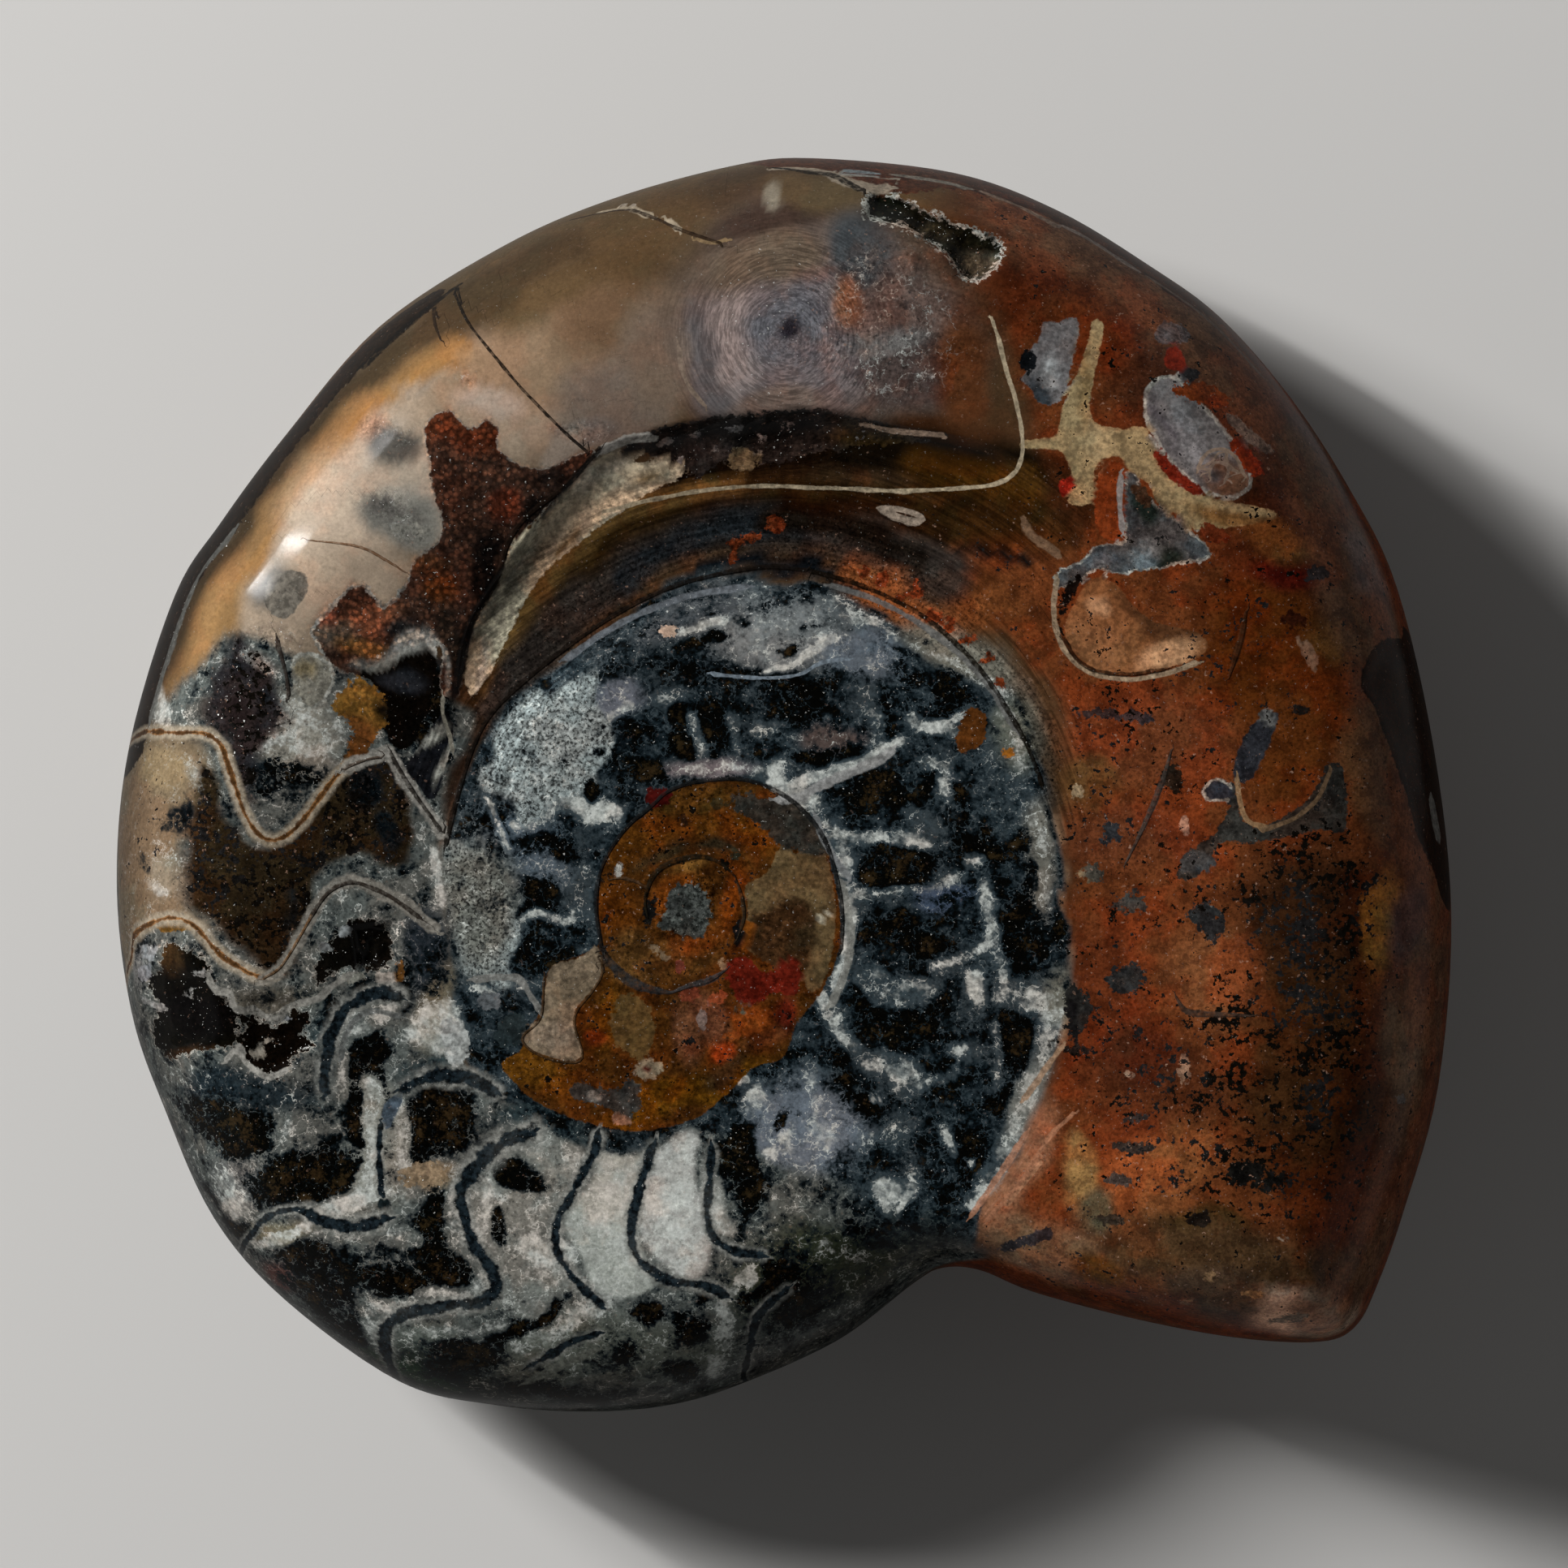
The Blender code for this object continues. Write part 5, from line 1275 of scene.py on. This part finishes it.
# The polish
# All of it is one stone with one polish. The colours above meet here in a single finish: clouded and grained
# at the scale of the real crystals, glossy, and rougher where crystals broke out.
height = np.where(on_face, RIM_HEIGHT + relief * face_rounding, back_height)
height[-1] = 0.0
points = np.column_stack([X, Y, height]) * MM
skin = bpy.data.meshes.new("polished_shell")
skin.from_pydata(points.tolist(), [], net_faces(ring_counts))
skin.validate()
skin.shade_smooth()


def store(name, *columns):
    """Keeps three values, or a colour's four, on the net's points for the finish to read."""
    values = np.column_stack(columns)
    kind, field = ("FLOAT_COLOR", "color") if values.shape[1] == 4 else ("FLOAT_VECTOR", "vector")
    kept = skin.attributes.new(name, kind, "POINT")
    kept.data.foreach_set(field, np.ascontiguousarray(values, dtype=np.float32).ravel())


# Painted shade darkens the rim where its shoulder turns away from the light, most at the left and the bottom.
PAINTED_RIM_SHADE_WIDTH = 3.0
PAINTED_RIM_SHADE_EVERYWHERE = 0.2
PAINTED_RIM_SHADE_MORE = 0.5
PAINTED_RIM_SHADE_ARC = (95, 150, 290, 318)
painted_rim_shade_strength = PAINTED_RIM_SHADE_EVERYWHERE + PAINTED_RIM_SHADE_MORE * window(coil_angle, PAINTED_RIM_SHADE_ARC)
painted_rim_shade = 1 - painted_rim_shade_strength * (1 - smooth_step(inset / PAINTED_RIM_SHADE_WIDTH))
# The ground colour's fourth value carries this painted rim shade, which the finish multiplies in.
store("ground", ground, painted_rim_shade)
for name, three in (("crystal", ("level", "restless", "mottle")), ("grain", ("grit", "crackle", "specks")),
                    ("surface", ("glint", "scratch", "bare"))):
    store(name, *(looks[look] for look in three))
for name, layer in (("filling", filling), ("inlay", inlay)):
    store(name + "_edge", layer["edge"] - past_rim, layer["rind"], layer["ragged"])
    store(name + "_tone", layer["tone"], np.ones(COUNT))
for name, lines in (("gold", gold_suture), ("slate", slate_suture)):
    store(name + "_line", lines["line"])
LINE_FADING = 0.2
for name, lines in (("pale", pale_line), ("dark", dark_line)):
    store(name + "_line", lines["line"] + np.outer(past_rim, (0.0, LINE_FADING, 0.0)))
    store(name + "_tone", lines["tone"], np.ones(COUNT))

# The fine scratches run round the eye, and round the coil on the wall.
EYE_REACH = 170
EYE_STROKE = 4.4
WALL_STROKE = 0.42
STROKE_TURN = 3


def rings_round(turn, across):
    """A place for noise in which all strokes run round a middle."""
    return np.column_stack([STROKE_TURN * np.cos(turn), STROKE_TURN * np.sin(turn), across])


eye_u, eye_v = U - EYE_MIDDLE[0], V - EYE_MIDDLE[1]
eye_radius = np.hypot(eye_u, eye_v)
eye_rings = rings_round(np.arctan2(eye_v, eye_u), eye_radius / EYE_STROKE)
wall_rings = rings_round(coil_angle, (coil_radius - fold_radius(coil_angle)) / WALL_STROKE)
store("strokes", np.where((eye_radius < EYE_REACH)[:, None], eye_rings, wall_rings))

stone = bpy.data.materials.new("polished_fossil")
stone.use_nodes = True
tree = stone.node_tree
surface = tree.nodes["Principled BSDF"]


def node(kind, *inputs, result=0, **settings):
    """Adds a node to the finish, with its inputs linked or set in order, and returns one of its outputs."""
    made = tree.nodes.new("ShaderNode" + kind)
    for name, value in settings.items():
        setattr(made, name, value)
    for socket, value in zip(made.inputs, inputs):
        if isinstance(value, bpy.types.NodeSocket):
            tree.links.new(value, socket)
        elif value is not None:
            socket.default_value = value
    return made.outputs[result]


def calc(operation, first, second=None, third=None):
    return node("Math", first, second, third, operation=operation)


def fade(value, low_end, high_end, to_low=0.0, to_high=1.0):
    """A smooth step from to_low to to_high as the value goes from one end to the other."""
    return node("MapRange", value, low_end, high_end, to_low, to_high, interpolation_type="SMOOTHSTEP")


def blend(share, under, over):
    """Lays one colour over another. Each is a socket, or a colour as it looks on screen."""
    made = tree.nodes.new("ShaderNodeMix")
    made.data_type = "RGBA"
    for place_number, value in ((0, share), (6, under), (7, over)):
        if isinstance(value, bpy.types.NodeSocket):
            tree.links.new(value, made.inputs[place_number])
        else:
            made.inputs[place_number].default_value = (*tone(*value), 1.0)
    return made.outputs[2]


def times(colour, strength):
    """Strengthens a colour by one factor, which may be a socket, or by one for each of its three parts."""
    if isinstance(strength, (bpy.types.NodeSocket, float)):
        strength = node("CombineXYZ", strength, strength, strength)
    return node("VectorMath", colour, strength, operation="MULTIPLY")


def swing(value, strength):
    """A random value made to swing both ways round nought."""
    return calc("MULTIPLY_ADD", value, strength, -strength / 2)


def stored(name, result=0):
    return node("Attribute", attribute_name=name, result=result)


def parts(vector):
    made = tree.nodes.new("ShaderNodeSeparateXYZ")
    tree.links.new(vector, made.inputs[0])
    return made.outputs


def noise(lumps_per_mm, detail=2.0, roughness=0.5, where=None, result=0):
    made = tree.nodes.new("ShaderNodeTexNoise")
    tree.links.new(where or place, made.inputs["Vector"])
    for name, value in (("Scale", lumps_per_mm), ("Detail", detail), ("Roughness", roughness)):
        made.inputs[name].default_value = value
    return made.outputs[result]


# Random fields from clouds about 5 mm across to grains of 0.1 mm, given in lumps per millimetre.
place = node("VectorMath", node("TexCoord", result=3), (1 / MM, 1 / MM, 1 / MM), operation="MULTIPLY")
cloud = parts(noise(0.22, detail=2, result=1))
patch = parts(noise(0.75, detail=4, roughness=0.62, result=1))
crumb = parts(noise(2.6, detail=3, roughness=0.6, result=1))
crisp = parts(noise(5.2, detail=2, roughness=0.6, result=1))
grain = noise(11, detail=1)

# Crystals of 0.3 mm, for the spar that is crackled and for stone that missed the polish.
CRYSTALS_PER_MM = 3.4
cells = tree.nodes.new("ShaderNodeTexVoronoi")
tree.links.new(place, cells.inputs["Vector"])
cells.inputs["Scale"].default_value = CRYSTALS_PER_MM
cell_reach = cells.outputs["Distance"]
cell_value = parts(cells.outputs["Color"])[0]
level_at, restless_at, mottle_at = parts(stored("crystal", 1))
grit_at, crackle_at, specks_at = parts(stored("grain", 1))
glint_at, scratch_at, bare_at = parts(stored("surface", 1))

# Where the level is low, pockets of black, brown and slate-blue crystal open in the ground colour, in a net
# of fine pale growth, and where it is high, white calcite covers it.
BLACK_CRYSTAL = (4, 4, 3)
BROWN_CRYSTAL = (38, 29, 16)
SLATE_CRYSTAL = (13, 22, 27)
WHITE_CALCITE = (184, 184, 178)
unrest = calc("ADD", swing(patch[0], 1.5), calc("ADD", swing(crumb[1], 0.75), swing(crisp[0], 0.3)))
filigree = fade(calc("ABSOLUTE", swing(patch[1], 2.0)), 0.0, 0.05, 0.36, 0.0)
growth = calc("MULTIPLY_ADD", restless_at, calc("ADD", unrest, filigree), level_at)
brown = fade(calc("MULTIPLY_ADD", growth, -0.5, calc("ADD", patch[2], swing(crisp[1], 0.4))), 0.44, 0.64)
pocket = blend(fade(growth, 0.22, 0.44), blend(brown, BLACK_CRYSTAL, BROWN_CRYSTAL), SLATE_CRYSTAL)
colour = blend(fade(growth, 0.32, 0.6), pocket, stored("ground"))
whiteness = fade(calc("ADD", patch[1], swing(crumb[2], 0.5)), 0.36, 0.62, 0.3, 0.95)
colour = blend(calc("MULTIPLY", fade(growth, 0.66, 1.0), whiteness), colour, WHITE_CALCITE)

RIND_TONES = ((100, 98, 92), (168, 166, 158))


def sharp_layer(name, under):
    """Lays one layer of fillings over the colour, with its ragged edge and pale rind."""
    edge, rind, ragged = parts(stored(name + "_edge", 1))
    true_edge = calc("MULTIPLY_ADD", ragged, calc("ADD", swing(crumb[0], 2.2), swing(patch[1], 1.4)), edge)
    filled = times(stored(name + "_tone"),
                   fade(calc("ADD", crumb[2], swing(patch[0], 0.6)), 0.3, 0.7, 0.58, 1.36))
    laid = blend(fade(true_edge, -1.2, 1.2), under, filled)
    rind_place = calc("ABSOLUTE", calc("SUBTRACT", true_edge, calc("MULTIPLY", rind, 0.3)))
    rind_cover = calc("MULTIPLY", fade(calc("SUBTRACT", rind_place, calc("MULTIPLY", rind, 0.5)), 1.0, -1.0),
                      fade(rind, 0.5, 2.0, 0.0, 0.85))
    rind_cover = calc("MULTIPLY", rind_cover, fade(patch[0], 0.36, 0.54, 0.25, 1.0))
    return blend(rind_cover, laid, blend(fade(crumb[1], 0.36, 0.64), *RIND_TONES))


colour = sharp_layer("filling", colour)
colour = sharp_layer("inlay", colour)

# Three kinds of mottling: rusty clouds, deep ones and light ones.
RUSTY_CLOUD = (1.22, 0.84, 0.68)
CLEAN_STONE = (0.95, 1.0, 1.0)
DEEP_CLOUD = (0.4, 0.38, 0.4)
LIGHT_CLOUD = (1.55, 1.5, 1.45)
rusty = calc("MULTIPLY", fade(calc("ADD", cloud[0], swing(patch[2], 0.5)), 0.42, 0.6, 0.0, 0.8), mottle_at)
colour = blend(rusty, times(colour, CLEAN_STONE), times(colour, RUSTY_CLOUD))
deep = calc("MULTIPLY", fade(calc("ADD", patch[1], swing(crumb[0], 0.9)), 0.47, 0.62, 0.0, 0.85), mottle_at)
colour = blend(deep, colour, times(colour, DEEP_CLOUD))
light = calc("MULTIPLY", fade(calc("ADD", patch[2], swing(crumb[2], 0.5)), 0.54, 0.68, 0.0, 0.6), mottle_at)
colour = blend(light, colour, times(colour, LIGHT_CLOUD))

# Specks of black and grey ore, pale crumbs, grit, and the red-brown spar with its crackle of crystals.
ORE_TONES = ((9, 7, 5), (22, 21, 21))
PALE_CRUMB = (128, 100, 84)
CRACKLE_LOW = (0.4, 0.36, 0.4)
CRACKLE_HIGH = (2.3, 1.7, 1.4)
speck_edge = calc("ADD", calc("MULTIPLY", patch[2], 0.5), calc("MULTIPLY", crumb[2], 0.7))
speck_limit = calc("MULTIPLY_ADD", specks_at, -0.16, 0.76)
speck = calc("MULTIPLY", fade(calc("SUBTRACT", speck_edge, speck_limit), -0.01, 0.03),
             fade(specks_at, 0.02, 0.2))
colour = blend(speck, colour, blend(fade(cloud[2], 0.46, 0.62), *ORE_TONES))
pale_crumb = calc("MULTIPLY", fade(calc("ADD", crumb[1], swing(crisp[0], 0.3)), 0.66, 0.74, 0.0, 0.6),
                  mottle_at)
colour = blend(pale_crumb, colour, PALE_CRUMB)

gritty = times(colour, calc("MULTIPLY", fade(crisp[0], 0.38, 0.5, 0.2, 1.1),
                            fade(crumb[2], 0.3, 0.7, 0.5, 1.4)))
colour = blend(calc("MULTIPLY", grit_at, 0.9), colour, gritty)
crackled = blend(fade(cell_value, 0.2, 0.9), times(colour, CRACKLE_LOW), times(colour, CRACKLE_HIGH))
crackled = times(crackled, fade(cell_reach, 0.25, 0.75, 1.2, 0.25))
colour = blend(calc("MULTIPLY", crackle_at, 0.6), colour, crackled)

strokes = noise(1.6, 2, 0.6, where=stored("strokes", 1))
scratched = times(colour, fade(strokes, 0.36, 0.66, 0.62, 1.44))
colour = blend(calc("MULTIPLY", scratch_at, 0.85), colour, scratched)

# The drawn lines, over everything else: golden sutures, slate-blue ones, then pale lines and dark ones.
GOLD_BORDERS = ((122, 106, 84), (146, 138, 124))
GOLD_TONES = ((72, 44, 20), (122, 82, 42))
GOLD_MIDDLE = (56, 36, 16)
SLATE_BORDERS = ((86, 88, 84), (132, 132, 126))
SLATE_TONES = ((6, 9, 11), (25, 34, 39))


def line_place(name, unsteady=1.0):
    """How far a point is from a drawn line, in half widths, drawn with an uneven hand."""
    sideways, around, guard = parts(stored(name + "_line", 1))
    away = calc("MAXIMUM", calc("ABSOLUTE", sideways), calc("SUBTRACT", around, guard))
    return calc("ADD", away, calc("ADD", swing(crumb[0], 0.7 * unsteady), swing(patch[1], 1.8 * unsteady)))


gold = line_place("gold", unsteady=0.55)
colour = blend(fade(gold, 1.2, 0.5, 0.0, 0.85), colour, blend(crumb[1], *GOLD_BORDERS))
colour = blend(fade(gold, 0.36, 0.2, 0.0, 0.9), colour, blend(fade(patch[2], 0.4, 0.62), *GOLD_TONES))
colour = blend(fade(gold, 0.2, 0.08, 0.0, 0.85), colour, GOLD_MIDDLE)
slate = line_place("slate", unsteady=0.85)
slate_border = calc("MULTIPLY", fade(slate, 1.4, 0.6), fade(crumb[2], 0.34, 0.6, 0.4, 0.85))
colour = blend(slate_border, colour, blend(fade(patch[2], 0.4, 0.6), *SLATE_BORDERS))
slate_core = calc("MULTIPLY", fade(slate, 0.72, 0.4), fade(cloud[1], 0.36, 0.5, 0.92, 1.0))
colour = blend(slate_core, colour, blend(fade(crumb[1], 0.36, 0.62), *SLATE_TONES))
pale = fade(line_place("pale"), 1.15, 0.7, 0.0, 0.85)
colour = blend(pale, colour, times(stored("pale_tone"), fade(crumb[2], 0.3, 0.7, 0.7, 1.2)))
dark = calc("MULTIPLY", fade(line_place("dark"), 1.15, 0.7), fade(crumb[1], 0.34, 0.56, 0.6, 0.95))
colour = blend(dark, colour, stored("dark_tone"))

# Painted glints of the lamp on single crystals, the liveliness of the grain, and the painted shade along the
# rim.
PAINTED_GLINT_TONE = (205, 205, 200)
# Painted glints: bright specks where single crystals would catch the lamp.
colour = blend(calc("MULTIPLY", fade(crisp[2], 0.69, 0.74), glint_at), colour, PAINTED_GLINT_TONE)
liveliness = calc("MULTIPLY_ADD", mottle_at, 1.3, calc("MULTIPLY_ADD", restless_at, 0.9, 0.16))
shading = calc("MULTIPLY_ADD", liveliness, calc("ADD", swing(crisp[1], 0.9), swing(crumb[0], 1.5)), 1.0)
# The ground's fourth value is the painted shade along the rim.
colour = times(colour, calc("MULTIPLY", shading, stored("ground", 3)))
tree.links.new(colour, surface.inputs["Base Color"])

# A soft stone under a thin clear polish, rougher where it is gritty or broken, with its grain just felt.
POLISH_WEIGHT = 0.16
POLISH_ROUGHNESS = 0.11
BUMP_HEIGHT = 0.00008
rough = calc("MULTIPLY_ADD", calc("MAXIMUM", grit_at, bare_at), 0.2, fade(patch[0], 0.3, 0.7, 0.36, 0.48))
tree.links.new(rough, surface.inputs["Roughness"])
surface.inputs["Specular IOR Level"].default_value = 0.0
surface.inputs["Coat Weight"].default_value = POLISH_WEIGHT
surface.inputs["Coat Roughness"].default_value = POLISH_ROUGHNESS

bumps = calc("MULTIPLY", grain, 0.05)
cell_bumps = calc("MULTIPLY_ADD", bare_at, 1.4, calc("MULTIPLY", grit_at, 0.5))
cell_height = calc("MULTIPLY", calc("SUBTRACT", 1.0, cell_reach), cell_value)
bumps = calc("MULTIPLY_ADD", cell_height, cell_bumps, bumps)
from_crack = calc("ABSOLUTE", parts(stored("dark_line", 1))[0])
bumps = calc("SUBTRACT", bumps, fade(from_crack, 1.0, 0.3, 0.0, 0.6))
bump = tree.nodes.new("ShaderNodeBump")
bump.inputs["Strength"].default_value = 1.0
bump.inputs["Distance"].default_value = BUMP_HEIGHT
tree.links.new(bumps, bump.inputs["Height"])
tree.links.new(bump.outputs["Normal"], surface.inputs["Normal"])

skin.materials.append(stone)
polished_shell = bpy.data.objects.new("polished_shell", skin)
bpy.context.scene.collection.objects.link(polished_shell)
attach(polished_shell, "root")
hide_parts("goniatite")

# Table, light and camera
# The fossil lies on a pale table top. A soft lamp at the upper left lights it, with a tall thin one for its
# highlight, and pale walls all round. The camera looks straight down from far off, so the outline is true.
TABLE_SIZE = 3.0
TABLE_COLOUR = (0.5, 0.49, 0.475, 1.0)
TABLE_ROUGHNESS = 0.8
half = TABLE_SIZE / 2
table_corners = [(-half, -half, 0), (half, -half, 0), (half, half, 0), (-half, half, 0)]
floor_mesh = bpy.data.meshes.new("table_top")
floor_mesh.from_pydata(table_corners, [], [(0, 1, 2, 3)])
floor = bpy.data.objects.new("table_top", floor_mesh)
bpy.context.scene.collection.objects.link(floor)
pale_paint = bpy.data.materials.new("pale_table")
pale_paint.use_nodes = True
table_surface = pale_paint.node_tree.nodes["Principled BSDF"]
table_surface.inputs["Base Color"].default_value = TABLE_COLOUR
table_surface.inputs["Roughness"].default_value = TABLE_ROUGHNESS
floor_mesh.materials.append(pale_paint)

LAMP_AZIMUTH = math.radians(148.3)
LAMP_ELEVATION = math.radians(33)
LAMP_DISTANCE = 1.0
LAMPS = (("soft_lamp", 0.3, 0.3, 11), ("spark_lamp", 0.042, 0.44, 7))
level_distance = LAMP_DISTANCE * math.cos(LAMP_ELEVATION)
for name, width, height, watts in LAMPS:
    light = bpy.data.lights.new(name, "AREA")
    light.shape = "ELLIPSE"
    light.size = width
    light.size_y = height
    light.energy = watts
    lamp = bpy.data.objects.new(name, light)
    lamp.location = (level_distance * math.cos(LAMP_AZIMUTH), level_distance * math.sin(LAMP_AZIMUTH),
                     LAMP_DISTANCE * math.sin(LAMP_ELEVATION))
    lamp.rotation_euler = (math.pi / 2 - LAMP_ELEVATION, 0.0, LAMP_AZIMUTH + math.pi / 2)
    lamp.visible_glossy = name == "spark_lamp"
    bpy.context.scene.collection.objects.link(lamp)

WALL_LIGHT = 0.42
CEILING_LIGHT = 0.02
WALL_FADE_START = 0.2
WALL_FADE_END = 0.75
air = bpy.data.worlds.new("studio_air")
air.use_nodes = True
direction = air.node_tree.nodes.new("ShaderNodeTexCoord")
upward = air.node_tree.nodes.new("ShaderNodeSeparateXYZ")
walls = air.node_tree.nodes.new("ShaderNodeMapRange")
walls.interpolation_type = "SMOOTHSTEP"
for number, value in enumerate((WALL_FADE_START, WALL_FADE_END, WALL_LIGHT, CEILING_LIGHT), 1):
    walls.inputs[number].default_value = value
air.node_tree.links.new(direction.outputs["Generated"], upward.inputs[0])
air.node_tree.links.new(upward.outputs["Z"], walls.inputs["Value"])
air.node_tree.links.new(walls.outputs["Result"], air.node_tree.nodes["Background"].inputs["Strength"])
air.node_tree.nodes["Background"].inputs["Color"].default_value = (1.0, 1.0, 1.0, 1.0)
bpy.context.scene.world = air
bpy.context.scene.view_settings.view_transform = "Standard"

SENSOR = 36.0
LENS = 600.0
FRAME_UNITS = 1932
CAMERA_REACH = 10.0
frame_width = FRAME_UNITS * UNIT * MM
camera_data = bpy.data.cameras.new("camera")
camera_data.sensor_width = SENSOR
camera_data.lens = LENS
camera = bpy.data.objects.new("camera", camera_data)
aim_x, aim_y = on_shell((FRAME_UNITS / 2, FRAME_UNITS / 2)) * MM
camera.location = (aim_x, aim_y, RIM_HEIGHT * MM + frame_width * LENS / SENSOR)
camera_data.clip_end = CAMERA_REACH
bpy.context.scene.collection.objects.link(camera)
bpy.context.scene.camera = camera
